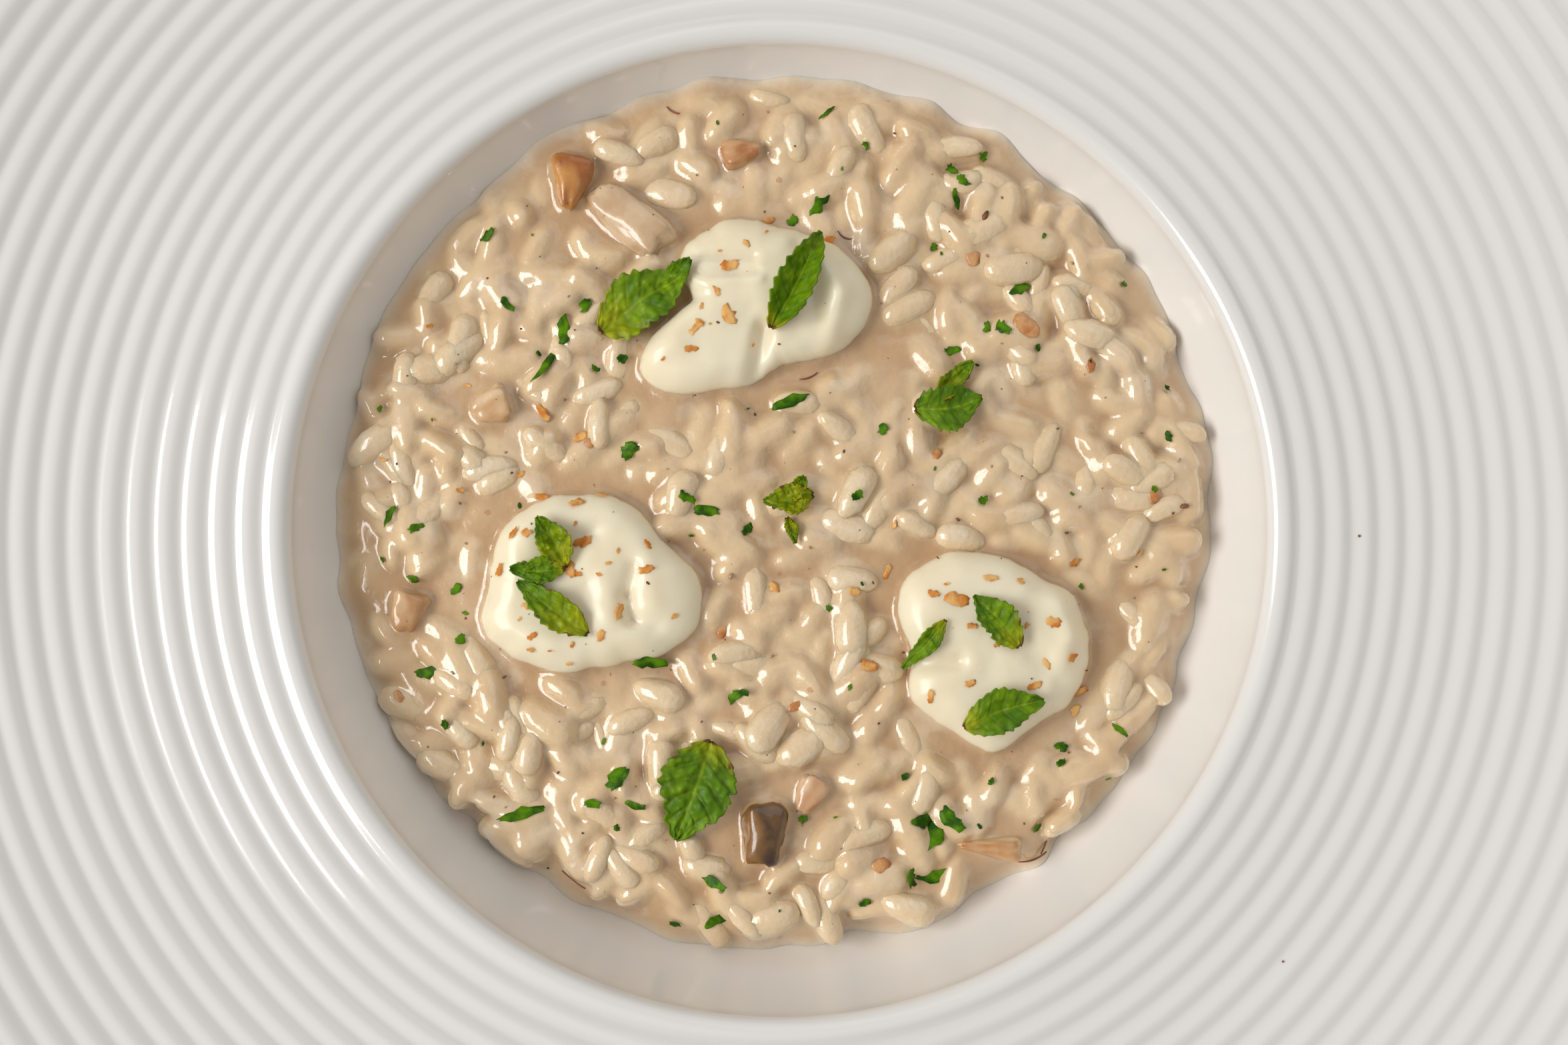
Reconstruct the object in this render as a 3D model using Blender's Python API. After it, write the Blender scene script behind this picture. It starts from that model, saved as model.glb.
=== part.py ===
"""A wide, ribbed porcelain plate of risotto with cream, mint leaves, mushroom pieces
and chopped parsley. Metres, +Z up, origin on the table under the middle of the foot."""

import math
import random

import bmesh
import bpy
from mathutils import Matrix, Vector, noise
from mathutils.bvhtree import BVHTree

MM = 0.001
GAP = 0.35 * MM              # kept between two pieces that touch
FULL_TURN = 2 * math.pi
GOLDEN_TURN = math.pi * (3 - math.sqrt(5))
WELD = 0.002 * MM                # points closer than this become one

# Plate
SIDES = 40                   # sides of the turned plate and of the food in it
PLATE_RADIUS = 152.5 * MM
PLATE_WALL = 4.5 * MM
FLOOR_TOP = 8.0 * MM
FLOOR_UNDERSIDE = 3.2 * MM
FOOT_INNER_RADIUS = 53.5 * MM
FOOT_OUTER_RADIUS = 57.5 * MM
WALL_FOOT_RADIUS = 52.0 * MM     # where the flat floor turns up into the wall
WALL_TOP_RADIUS = 77.3 * MM
WALL_TOP = 32.0 * MM
WALL_STEPS = 5
LIP_RADIUS = 2.6 * MM            # round of the lip between well and rim
FIRST_GROOVE_RADIUS = 82.0 * MM
FIRST_GROOVE_LEVEL = 34.0 * MM
GROOVE_PITCH = 4.2 * MM
GROOVES = 16
RIB_HEIGHT = 0.6 * MM
RIM_RISE = 2.9                   # rise of the rim in metres for each square metre

# Risotto
EDGE_LEVEL = 19.8 * MM           # where it meets the wall
EDGE_TO_BACK = 4.5 * MM          # the food lies higher at the back than at the front
EDGE_TO_LEFT = 1.1 * MM
EDGE_LUMPS = 0.9 * MM
EDGE_ROUNDING = 7.0 * MM
TOP_LEVEL = 22.5 * MM
TOP_TO_BACK = 2.0 * MM
TOP_DOME = 2.0 * MM
HEAP_RADIUS = 72.0 * MM
RELIEF = 0.6 * MM
GRAIN_LENGTH = 8.8 * MM
GRAIN_WIDTH = 4.3 * MM
GRAIN_PLACES = 160
PARSLEY_PLACES = 34
SCATTER_MIDDLE = 3.0 * MM         # the heap's middle lies a little to the back
SCATTER_RADIUS = 67.0 * MM

# Cream: middle, then radii of the outline every 30 degrees from +X, then the valleys
# between its folds as (from, to, depth, half width)
CREAM_THICKNESS = 5.6 * MM
CREAM_SIDES = 20
CREAM = {
    "cream_back": {
        "middle": (-4.6, 36.0),
        "radii": (19.4, 17.4, 14.2, 13.7, 15.0, 13.7, 10.7, 21.5, 16.5, 12.9, 10.9, 16.0),
        "valleys": (((-2.6, -4.5), (-4.0, -12.5), 1.8, 1.6), ((1.5, 8.5), (8.5, 0.5), 1.2, 1.8),
                    ((-11.0, 6.0), (-3.0, 7.0), 0.9, 1.5)),
    },
    "cream_left": {
        "middle": (-31.1, -9.1),
        "radii": (17.7, 13.7, 14.2, 14.5, 15.3, 16.1, 15.9, 18.9, 16.2, 14.3, 15.1, 18.4),
        "valleys": (((7.5, 2.0), (7.3, -6.8), 1.6, 1.5), ((-5.5, 4.5), (0.5, 8.0), 1.2, 2.2)),
    },
    "cream_right": {
        "middle": (34.2, -20.6),
        "radii": (15.8, 16.1, 14.2, 15.4, 18.0, 17.7, 13.3, 15.2, 14.3, 15.9, 14.0, 15.8),
        "valleys": (((-12.0, -3.0), (-4.0, -1.0), 1.5, 1.6), ((3.0, 4.0), (10.0, -4.5), 0.9, 2.0)),
    },
}
FLAKES_EACH = 8
FLAKE_LENGTH = 3.6 * MM

# Mint leaves in millimetres: base, tip, width, how far the tip curls up, how steeply
# the halves fold up from the midrib
MINT = {
    "mint_back_left": ((-28.6, 30.6), (-15.2, 41.4), 10.0, 2.2, 0.25),
    "mint_back": ((-1.5, 30.6), (6.6, 46.6), 6.6, 1.0, 0.55),
    "mint_back_right": ((21.6, 18.4), (32.6, 21.6), 8.0, 1.6, 0.55),
    "mint_middle": ((-2.8, 3.2), (5.2, 5.4), 5.0, 0.8, 0.30),
    "mint_left_upper": ((-33.0, -6.6), (-38.4, 1.0), 7.6, 1.2, 0.45),
    "mint_left_lower": ((-30.9, -17.8), (-42.0, -10.0), 5.5, 0.8, 0.35),
    "mint_right_upper": ((37.6, -19.6), (31.0, -12.1), 5.7, 0.6, 0.30),
    "mint_right_narrow": ((25.6, -15.9), (19.9, -23.1), 3.3, 0.4, 0.35),
    "mint_right_lower": ((30.0, -32.2), (41.7, -28.4), 6.9, 1.2, 0.35),
    "mint_front": ((-10.0, -35.6), (-17.3, -50.8), 11.3, 0.7, 0.10),
}
LEAF_THICKNESS = 0.45 * MM
LEAF_STATIONS = 5
LEAF_WAVE = 0.35 * MM

# Mushroom pieces in millimetres: middle, heading in degrees, length, width, height
MUSHROOM = {
    "mushroom_back_cap": ((-34.3, 56.2), 82.0, 8.0, 5.0, 3.6),
    "mushroom_back_small": ((-6.4, 61.4), 8.0, 6.0, 4.2, 3.0),
    "mushroom_back_slice": ((-24.8, 50.4), -38.0, 15.0, 6.5, 3.8),
    "mushroom_front_dark": ((-2.8, -50.0), 84.0, 9.8, 6.0, 3.4),
    "mushroom_front_pale": ((4.6, -43.8), 60.0, 6.0, 4.0, 2.8),
    "mushroom_left_block": ((-47.2, 19.2), 20.0, 6.0, 5.0, 3.0),
    "mushroom_left_edge": ((-60.4, -14.2), 75.0, 6.5, 5.0, 2.8),
    "mushroom_front_wedge": ((33.9, -52.4), -5.0, 10.0, 2.6, 2.4),
}
MUSHROOM_SIDES = 8


def clear_scene():
    for obj in list(bpy.data.objects):
        bpy.data.objects.remove(obj, do_unlink=True)


def material(name, colour, roughness, coat=0.0):
    """A Principled finish, with an optional clear glaze."""
    finish = bpy.data.materials.new(name)
    finish.use_nodes = True
    shader = finish.node_tree.nodes["Principled BSDF"]
    shader.inputs["Base Color"].default_value = (*colour, 1.0)
    shader.inputs["Roughness"].default_value = roughness
    shader.inputs["Metallic"].default_value = 0.0
    shader.inputs["Coat Weight"].default_value = coat
    finish.diffuse_color = (*colour, 1.0)
    return finish


def object_from(bm, name, finish, crease=40.0):
    """Turn a bmesh into a shaded object with one finish."""
    mesh = bpy.data.meshes.new(name)
    bm.to_mesh(mesh)
    bm.free()
    mesh.materials.append(finish)
    mesh.shade_smooth()
    mesh.set_sharp_from_angle(angle=math.radians(crease))
    obj = bpy.data.objects.new(name, mesh)
    bpy.context.scene.collection.objects.link(obj)
    return obj


def rim_level(radius):
    """Level of the groove floors: the rim rises in a shallow curve."""
    return FIRST_GROOVE_LEVEL + RIM_RISE * (radius - FIRST_GROOVE_RADIUS) ** 2


def wall_points():
    """The inside of the well from the edge of the flat floor up to the lip."""
    handles = (
        Vector((WALL_FOOT_RADIUS, FLOOR_TOP)),
        Vector((66.0 * MM, FLOOR_TOP)),
        Vector((73.0 * MM, 17.0 * MM)),
        Vector((WALL_TOP_RADIUS, WALL_TOP)),
    )
    points = []
    for step in range(WALL_STEPS + 1):
        t = step / WALL_STEPS
        weights = ((1 - t) ** 3, 3 * t * (1 - t) ** 2, 3 * t * t * (1 - t), t ** 3)
        points.append(sum((w * h for w, h in zip(weights, handles)), Vector((0.0, 0.0))))
    return points


def plate_profile():
    """Half section of the plate as (radius, level), from under the foot round to the floor."""
    under = [(0.0, FLOOR_UNDERSIDE), (FOOT_INNER_RADIUS - 1.0 * MM, FLOOR_UNDERSIDE)]
    under += [(FOOT_INNER_RADIUS, 0.0), (FOOT_OUTER_RADIUS, 0.0)]
    under += [(FOOT_OUTER_RADIUS + 1.5 * MM, 4.2 * MM), (64.0 * MM, 6.0 * MM), (70.0 * MM, 10.5 * MM)]
    under += [(75.5 * MM, 16.5 * MM), (79.0 * MM, 21.0 * MM), (83.0 * MM, 27.0 * MM)]
    under += [(r * MM, rim_level(r * MM) - PLATE_WALL) for r in (88.0, 104.0, 120.0, 135.0, 148.0)]
    edge_level = rim_level(PLATE_RADIUS)
    edge = [(151.6 * MM, edge_level - 3.6 * MM), (PLATE_RADIUS, edge_level - 1.9 * MM)]
    edge += [(151.9 * MM, edge_level - 0.5 * MM), (150.4 * MM, edge_level)]
    edge.append((147.4 * MM, rim_level(147.4 * MM) + 0.4 * MM))
    ribs = []
    for groove in reversed(range(GROOVES)):
        radius = FIRST_GROOVE_RADIUS + groove * GROOVE_PITCH
        if groove < GROOVES - 1:
            for share in (0.72, 0.28):
                crest = radius + share * GROOVE_PITCH
                ribs.append((crest, rim_level(crest) + RIB_HEIGHT))
        ribs.append((radius, rim_level(radius)))
    lip = []
    for degrees in (60, 90, 125, 155):
        turn = math.radians(degrees)
        lip.append((WALL_TOP_RADIUS + LIP_RADIUS + LIP_RADIUS * math.cos(turn),
                    WALL_TOP + LIP_RADIUS * math.sin(turn)))
    wall = [tuple(point) for point in reversed(wall_points())]
    return under + edge + ribs + lip + wall + [(0.0, FLOOR_TOP)]


def make_plate(finish):
    bm = bmesh.new()
    points = [bm.verts.new((radius, 0.0, level)) for radius, level in plate_profile()]
    edges = [bm.edges.new(pair) for pair in zip(points, points[1:])]
    bmesh.ops.spin(bm, geom=points + edges, cent=(0, 0, 0), axis=(0, 0, 1), angle=FULL_TURN,
                   steps=SIDES, use_merge=True)
    bmesh.ops.remove_doubles(bm, verts=bm.verts, dist=0.01 * MM)
    bmesh.ops.recalc_face_normals(bm, faces=bm.faces)
    return object_from(bm, "bowl", finish, crease=55.0)


def outline_radius(radii, angle):
    """Radius of a smooth closed outline through radii at even angles."""
    place = (angle % FULL_TURN) / FULL_TURN * len(radii)
    first = int(place)
    t = place - first
    a, b, c, d = (radii[(first + k) % len(radii)] * MM for k in (-1, 0, 1, 2))
    return b + 0.5 * t * (c - a + t * (2 * a - 5 * b + 4 * c - d + t * (3 * (b - c) + d - a)))


def in_cream(x, y, margin):
    """Whether a place lies on a dollop of cream, or within the margin of one."""
    for dollop in CREAM.values():
        dx = x - dollop["middle"][0] * MM
        dy = y - dollop["middle"][1] * MM
        if math.hypot(dx, dy) < outline_radius(dollop["radii"], math.atan2(dy, dx)) + margin:
            return True
    return False


def strip_distance(x, y, start, end):
    """Distance in plan from a place to the line between two places in millimetres."""
    place = Vector((x, y))
    first = Vector(start) * MM
    along = Vector(end) * MM - first
    share = max(0.0, min(1.0, (place - first).dot(along) / along.length_squared))
    return (place - first - share * along).length


def in_leaf(x, y, margin):
    for base, tip, width, _curl, _fold in MINT.values():
        if strip_distance(x, y, base, tip) < 0.5 * width * MM + margin:
            return True
    return False


def in_mushroom(x, y, margin):
    for middle, heading, length, width, _height in MUSHROOM.values():
        turn = math.radians(heading)
        reach = 0.5 * (length - width)
        start = (middle[0] - reach * math.cos(turn), middle[1] - reach * math.sin(turn))
        end = (middle[0] + reach * math.cos(turn), middle[1] + reach * math.sin(turn))
        if strip_distance(x, y, start, end) < 0.5 * width * MM + margin:
            return True
    return False


def under_topping(x, y, margin):
    return in_cream(x, y, margin) or in_leaf(x, y, margin) or in_mushroom(x, y, margin)


def edge_level(turn):
    """Level at which the risotto meets the wall, in a given direction."""
    lumps = EDGE_LUMPS * noise.noise(Vector((3 * math.cos(turn), 3 * math.sin(turn), 4.0)))
    return EDGE_LEVEL + EDGE_TO_BACK * math.sin(turn) - EDGE_TO_LEFT * math.cos(turn) + lumps


def top_level(x, y):
    """Level of the risotto's bare top: a low dome, a little uneven away from toppings."""
    radius = math.hypot(x, y)
    level = TOP_LEVEL + TOP_TO_BACK * y / HEAP_RADIUS + TOP_DOME * (1 - (radius / HEAP_RADIUS) ** 2)
    if not under_topping(x, y, 6 * MM):
        level += RELIEF * noise.noise(Vector((x, y, 0.0)) / (11 * MM))
    return level


def underside_section(turn, inside):
    """Half section of the risotto's underside as (radius, level), from the floor to its edge."""
    level = edge_level(turn)
    section = []
    for low, high in zip(inside, inside[1:]):
        section.append(low)
        if high.y > level:
            section.append(low.lerp(high, (level - low.y) / (high.y - low.y)))
            break
    while len(section) < WALL_STEPS + 1:
        section.insert(-1, section[-2].lerp(section[-1], 0.5))
    return section


def wall_offset():
    """The well's section moved into the hollow by the gap."""
    walls = wall_points()
    inside = []
    for index, point in enumerate(walls):
        along = walls[min(index + 1, len(walls) - 1)] - walls[max(index - 1, 0)]
        normal = Vector((0.0, 1.0)) if index == 0 else Vector((-along.y, along.x)).normalized()
        inside.append(point + 1.15 * GAP * normal)
    return inside


def bridge(bm, outer, inner):
    """Join two rings, the inner one with as many points as the outer or half as many."""
    ratio = len(outer) // len(inner)
    for i, near in enumerate(inner):
        far = inner[(i + 1) % len(inner)]
        first = outer[ratio * i]
        last = outer[(ratio * i + ratio) % len(outer)]
        if ratio == 1:
            bm.faces.new((first, last, far, near))
        else:
            middle = outer[ratio * i + 1]
            bm.faces.new((first, middle, near))
            bm.faces.new((middle, far, near))
            bm.faces.new((middle, last, far))


def ring_of(bm, count, place_of):
    """A ring of points, each from a function of its direction to (radius, level)."""
    ring = []
    for k in range(count):
        turn = k * FULL_TURN / count
        radius, level = place_of(turn)
        ring.append(bm.verts.new((radius * math.cos(turn), radius * math.sin(turn), level)))
    return ring


def make_core(finish):
    """The body of the risotto: its underside follows the well, its top is the bare dome."""
    inside = wall_offset()
    bm = bmesh.new()
    rings = [ring_of(bm, SIDES, lambda turn, k=k: underside_section(turn, inside)[k])
             for k in range(WALL_STEPS + 1)]

    def shoulder(turn, inward):
        radius = underside_section(turn, inside)[-1].x - inward
        share = math.sqrt(1 - (1 - inward / EDGE_ROUNDING) ** 2)
        top = top_level(radius * math.cos(turn), radius * math.sin(turn))
        return radius, edge_level(turn) * (1 - share) + top * share

    def crown(turn, share):
        radius = share * (underside_section(turn, inside)[-1].x - EDGE_ROUNDING)
        return radius, top_level(radius * math.cos(turn), radius * math.sin(turn))

    for inward in (1.0 * MM, 3.0 * MM, EDGE_ROUNDING):
        rings.append(ring_of(bm, SIDES, lambda turn, inward=inward: shoulder(turn, inward)))
    for share, count in ((0.78, SIDES // 2), (0.52, SIDES // 2), (0.26, SIDES // 4)):
        rings.append(ring_of(bm, count, lambda turn, share=share: crown(turn, share)))
    for outer, inner in zip(rings, rings[1:]):
        bridge(bm, outer, inner)
    bottom = bm.verts.new((0.0, 0.0, FLOOR_TOP + GAP))
    top = bm.verts.new((0.0, 0.0, top_level(0.0, 0.0)))
    for ring, middle in ((rings[0], bottom), (rings[-1], top)):
        for vert, following in zip(ring, ring[1:] + ring[:1]):
            bm.faces.new((middle, vert, following))
    bmesh.ops.recalc_face_normals(bm, faces=bm.faces)
    bmesh.ops.triangulate(bm, faces=bm.faces)
    return object_from(bm, "risotto", finish)


def tree_of(obj):
    return BVHTree.FromObject(obj, bpy.context.evaluated_depsgraph_get())


def surface_at(trees, x, y):
    """Highest surface under a place, looking straight down."""
    hits = [tree.ray_cast(Vector((x, y, 100 * MM)), Vector((0, 0, -1)))[0] for tree in trees]
    levels = [hit.z for hit in hits if hit is not None]
    return max(levels) if levels else 0.0


def rest_level(trees, x, y, reach):
    """Highest surface at a place and at eight places around it."""
    levels = [surface_at(trees, x, y)]
    for k in range(8):
        turn = k * FULL_TURN / 8
        levels.append(surface_at(trees, x + reach * math.cos(turn), y + reach * math.sin(turn)))
    return max(levels)


def stack_rings(bm, rings, bottom, top):
    """Close a pile of equal rings with a point below and a point above."""
    for ring, upper in zip(rings, rings[1:]):
        for i, vert in enumerate(ring):
            j = (i + 1) % len(ring)
            bm.faces.new((vert, ring[j], upper[j], upper[i]))
    for i, vert in enumerate(rings[0]):
        bm.faces.new((bottom, rings[0][(i + 1) % len(rings[0])], vert))
    for i, vert in enumerate(rings[-1]):
        bm.faces.new((top, vert, rings[-1][(i + 1) % len(rings[-1])]))
    bmesh.ops.recalc_face_normals(bm, faces=bm.faces)
    bmesh.ops.triangulate(bm, faces=bm.faces)


def cream_top(dollop, dx, dy, share):
    """Height of a dollop above the risotto, given the share of its outline reached."""
    height = CREAM_THICKNESS * (1.0 - 0.16 * share ** 3)
    height += 0.45 * MM * noise.noise(Vector((dx, dy, 20 * MM)) / (7 * MM))
    for start, end, depth, half_width in dollop["valleys"]:
        away = strip_distance(dx, dy, start, end) / (half_width * MM)
        height -= depth * MM * math.exp(-away * away)
    return height


def make_cream(name, trees, finish):
    """A spooned dollop: rounded sides, an uneven folded top, the underside on the risotto."""
    dollop = CREAM[name]
    middle = Vector(dollop["middle"]) * MM
    bm = bmesh.new()
    rings = []
    rows = ((0.6, 0.0), (0.95, 0.0), (1.0, 0.34), (0.98, 0.68), (0.91, 0.92), (0.78, 1.0), (0.52, 1.0),
            (0.27, 1.0))
    for share, lift in rows:
        ring = []
        for side in range(CREAM_SIDES):
            turn = side * FULL_TURN / CREAM_SIDES
            reach = share * outline_radius(dollop["radii"], turn)
            dx, dy = reach * math.cos(turn), reach * math.sin(turn)
            x, y = middle.x + dx, middle.y + dy
            level = surface_at(trees, x, y) + GAP
            if lift > 0:
                level += lift * cream_top(dollop, dx, dy, share)
            ring.append(bm.verts.new((x, y, level)))
        rings.append(ring)
    ground = surface_at(trees, middle.x, middle.y) + GAP
    bottom = bm.verts.new((middle.x, middle.y, ground))
    top = bm.verts.new((middle.x, middle.y, ground + cream_top(dollop, 0.0, 0.0, 0.0)))
    stack_rings(bm, rings, bottom, top)
    return object_from(bm, name, finish)


def make_chip(rng, length, thickness, sides):
    """A thin irregular flake lying flat at the origin."""
    bm = bmesh.new()
    corners = []
    for side in range(sides):
        turn = (side + rng.uniform(-0.25, 0.25)) * FULL_TURN / sides
        reach = 0.5 * length * rng.uniform(0.75, 1.1)
        corners.append(bm.verts.new((reach * math.cos(turn), 0.55 * reach * math.sin(turn), 0.0)))
    face = bm.faces.new(corners)
    raised = bmesh.ops.extrude_face_region(bm, geom=[face])["geom"]
    raised = [item for item in raised if isinstance(item, bmesh.types.BMVert)]
    bmesh.ops.translate(bm, verts=raised, vec=(0, 0, thickness))
    bmesh.ops.recalc_face_normals(bm, faces=bm.faces)
    return bm


def make_grain(rng):
    """A plump cooked grain lying along X at the origin."""
    bm = bmesh.new()
    bmesh.ops.create_uvsphere(bm, u_segments=5, v_segments=4, radius=0.5)
    bmesh.ops.rotate(bm, verts=bm.verts, matrix=Matrix.Rotation(math.pi / 2, 3, "Y"))
    size = rng.uniform(0.9, 1.1)
    bmesh.ops.scale(bm, verts=bm.verts, vec=(size * GRAIN_LENGTH, size * GRAIN_WIDTH, 0.86 * GRAIN_WIDTH))
    return bm


def place(bm, x, y, level, heading, pitch, roll):
    """Turn a shape made at the origin and set it down."""
    turned = Matrix.Rotation(heading, 4, "Z") @ Matrix.Rotation(pitch, 4, "Y") @ Matrix.Rotation(roll, 4, "X")
    bmesh.ops.transform(bm, verts=bm.verts, matrix=Matrix.Translation((x, y, level)) @ turned)


def fuse(obj, bits):
    """Join small bodies to an object, then drop scraps and fill sealed hollows."""
    gathered = bpy.data.collections.new(obj.name + "_bits")
    for bm in bits:
        mesh = bpy.data.meshes.new("bit")
        bm.to_mesh(mesh)
        bm.free()
        gathered.objects.link(bpy.data.objects.new("bit", mesh))
    bpy.context.scene.collection.children.link(gathered)
    join = obj.modifiers.new("join", "BOOLEAN")
    join.operation = "UNION"
    join.operand_type = "COLLECTION"
    join.collection = gathered
    joined = bpy.data.meshes.new_from_object(obj.evaluated_get(bpy.context.evaluated_depsgraph_get()))
    obj.modifiers.clear()
    obj.data = joined
    for bit in list(gathered.objects):
        bpy.data.objects.remove(bit, do_unlink=True)
    bpy.data.collections.remove(gathered)
    keep_largest_body(joined)


def keep_largest_body(mesh):
    """Weld points that nearly coincide, then keep the body with the most faces."""
    bm = bmesh.new()
    bm.from_mesh(mesh)
    bmesh.ops.remove_doubles(bm, verts=bm.verts, dist=WELD)
    bmesh.ops.triangulate(bm, faces=bm.faces)
    waiting = set(bm.faces)
    bodies = []
    while waiting:
        body = {waiting.pop()}
        front = list(body)
        while front:
            face = front.pop()
            for edge in face.edges:
                for other in edge.link_faces:
                    if other in waiting:
                        waiting.discard(other)
                        body.add(other)
                        front.append(other)
        bodies.append(body)
    bodies.sort(key=len, reverse=True)
    spare = [face for body in bodies[1:] for face in body]
    bmesh.ops.delete(bm, geom=spare, context="FACES")
    bm.to_mesh(mesh)
    bm.free()


def flakes_on(name, tree):
    """Toasted flakes scattered on a dollop, away from the leaves that lie on it."""
    dollop = CREAM[name]
    rng = random.Random(name)
    flakes = []
    for index in range(4 * FLAKES_EACH):
        turn = index * GOLDEN_TURN + rng.uniform(-0.3, 0.3)
        share = 0.84 * math.sqrt((index + 0.5) / (4 * FLAKES_EACH))
        reach = share * outline_radius(dollop["radii"], turn)
        x = dollop["middle"][0] * MM + reach * math.cos(turn)
        y = dollop["middle"][1] * MM + reach * math.sin(turn)
        heading, pitch, roll = rng.uniform(0, math.pi), rng.uniform(-0.25, 0.25), rng.uniform(-0.3, 0.3)
        length = FLAKE_LENGTH * rng.uniform(0.75, 1.25)
        if len(flakes) == FLAKES_EACH or index % 2 or in_leaf(x, y, 0.7 * length + 0.6 * MM):
            continue
        flake = make_chip(rng, length, 1.0 * MM, 5)
        place(flake, x, y, surface_at([tree], x, y) - 0.45 * MM, heading, pitch, roll)
        flakes.append(flake)
    return flakes


def spiral_places(count, rng, first_turn):
    """Places spread evenly over the heap, each a little off its spot."""
    for index in range(count):
        radius = SCATTER_RADIUS * math.sqrt((index + 0.5) / count)
        turn = first_turn + index * GOLDEN_TURN
        x = radius * math.cos(turn) + rng.uniform(-1.5, 1.5) * MM
        yield x, SCATTER_MIDDLE + radius * math.sin(turn) + rng.uniform(-1.5, 1.5) * MM


def risotto_bits(tree):
    """Grains and parsley that show, on the bare core and clear of all toppings."""
    rng = random.Random(11)
    bits = []
    for x, y in spiral_places(GRAIN_PLACES, rng, 0.4):
        heading, pitch = rng.uniform(0, math.pi), rng.uniform(-0.18, 0.18)
        sink = rng.uniform(-0.3, 0.8) * MM
        reach = 0.32 * GRAIN_LENGTH
        ends = [(x + k * reach * math.cos(heading), y + k * reach * math.sin(heading)) for k in (-1, 0, 1)]
        if any(under_topping(ex, ey, 0.58 * GRAIN_WIDTH + 0.5 * MM) for ex, ey in ends):
            continue
        grain = make_grain(rng)
        place(grain, x, y, surface_at([tree], x, y) + sink, heading, pitch, 0.0)
        bits.append(grain)
    for x, y in spiral_places(PARSLEY_PLACES, rng, 2.1):
        heading, pitch, roll = rng.uniform(0, math.pi), rng.uniform(-0.3, 0.3), rng.uniform(-0.3, 0.3)
        length = rng.uniform(3.0, 5.5) * MM
        if under_topping(x, y, 0.55 * length + 0.6 * MM):
            continue
        chip = make_chip(rng, length, 0.8 * MM, 5)
        place(chip, x, y, surface_at([tree], x, y) - 0.15 * MM, heading, pitch, roll)
        bits.append(chip)
    return bits


def make_leaf(name, trees, finish):
    """A mint leaf: a wavy sheet folded along its midrib, thickened both faces alike."""
    base, tip, width, curl, fold = MINT[name]
    start, end = Vector(base) * MM, Vector(tip) * MM
    along = end - start
    side = Vector((-along.y, along.x)).normalized()
    spacing = along.length / (LEAF_STATIONS + 1)
    bm = bmesh.new()

    def point(share, across):
        half = 0.5 * width * MM * math.sin(math.pi * share ** 0.8) ** 0.75
        x, y = start + share * along + across * half * side
        ground = max(rest_level(trees, *(start + share * along + k * half * side), spacing) for k in (-1, 0, 1))
        wave = LEAF_WAVE * (1 + math.sin(9 * share + 2 * across)) * abs(across)
        rise = curl * MM * share ** 3 + fold * abs(across) * half + wave
        return bm.verts.new((x, y, ground + GAP + LEAF_THICKNESS + rise))

    rows = [[point(k / (LEAF_STATIONS + 1), c) for c in (-1, 0, 1)] for k in range(1, LEAF_STATIONS + 1)]
    stalk, point_end = point(0.02, 0), point(0.98, 0)
    for low, high in zip(rows, rows[1:]):
        for c in (0, 1):
            bm.faces.new((low[c], high[c], high[c + 1], low[c + 1]))
    for c in (0, 1):
        bm.faces.new((stalk, rows[0][c], rows[0][c + 1]))
        bm.faces.new((point_end, rows[-1][c + 1], rows[-1][c]))
    bmesh.ops.triangulate(bm, faces=bm.faces)
    bmesh.ops.recalc_face_normals(bm, faces=bm.faces)
    if sum(face.normal.z for face in bm.faces) < 0:
        bmesh.ops.reverse_faces(bm, faces=bm.faces)
    bmesh.ops.solidify(bm, geom=bm.faces, thickness=LEAF_THICKNESS)
    bmesh.ops.recalc_face_normals(bm, faces=bm.faces)
    return object_from(bm, name, finish, crease=60.0)


def make_mushroom(name, trees, finish):
    """A cut piece of mushroom with bevelled edges, its underside on the risotto."""
    middle, heading, length, width, height = MUSHROOM[name]
    rng = random.Random(name)
    turn = math.radians(heading)
    wobble = [rng.uniform(0.9, 1.04) for _ in range(MUSHROOM_SIDES)]
    lean = rng.uniform(-0.25, 0.25)
    rings = []
    bm = bmesh.new()
    for share, lift in ((0.93, 0.0), (1.0, 0.45), (0.86, 0.88)):
        ring = []
        for side in range(MUSHROOM_SIDES):
            around = side * FULL_TURN / MUSHROOM_SIDES
            u = 0.5 * length * share * wobble[side] * math.copysign(abs(math.cos(around)) ** 0.8, math.cos(around))
            v = 0.5 * width * share * wobble[side] * math.copysign(abs(math.sin(around)) ** 0.8, math.sin(around))
            x = (middle[0] + u * math.cos(turn) - v * math.sin(turn)) * MM
            y = (middle[1] + u * math.sin(turn) + v * math.cos(turn)) * MM
            rise = lift * height * MM * (1 + lean * v / width)
            ring.append(bm.verts.new((x, y, rest_level(trees, x, y, 0.6 * MM) + GAP + rise)))
        rings.append(ring)
    x, y = middle[0] * MM, middle[1] * MM
    ground = rest_level(trees, x, y, 0.6 * MM) + GAP
    bottom = bm.verts.new((x, y, ground))
    top = bm.verts.new((x, y, ground + height * MM))
    stack_rings(bm, rings, bottom, top)
    return object_from(bm, name, finish, crease=50.0)


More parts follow.
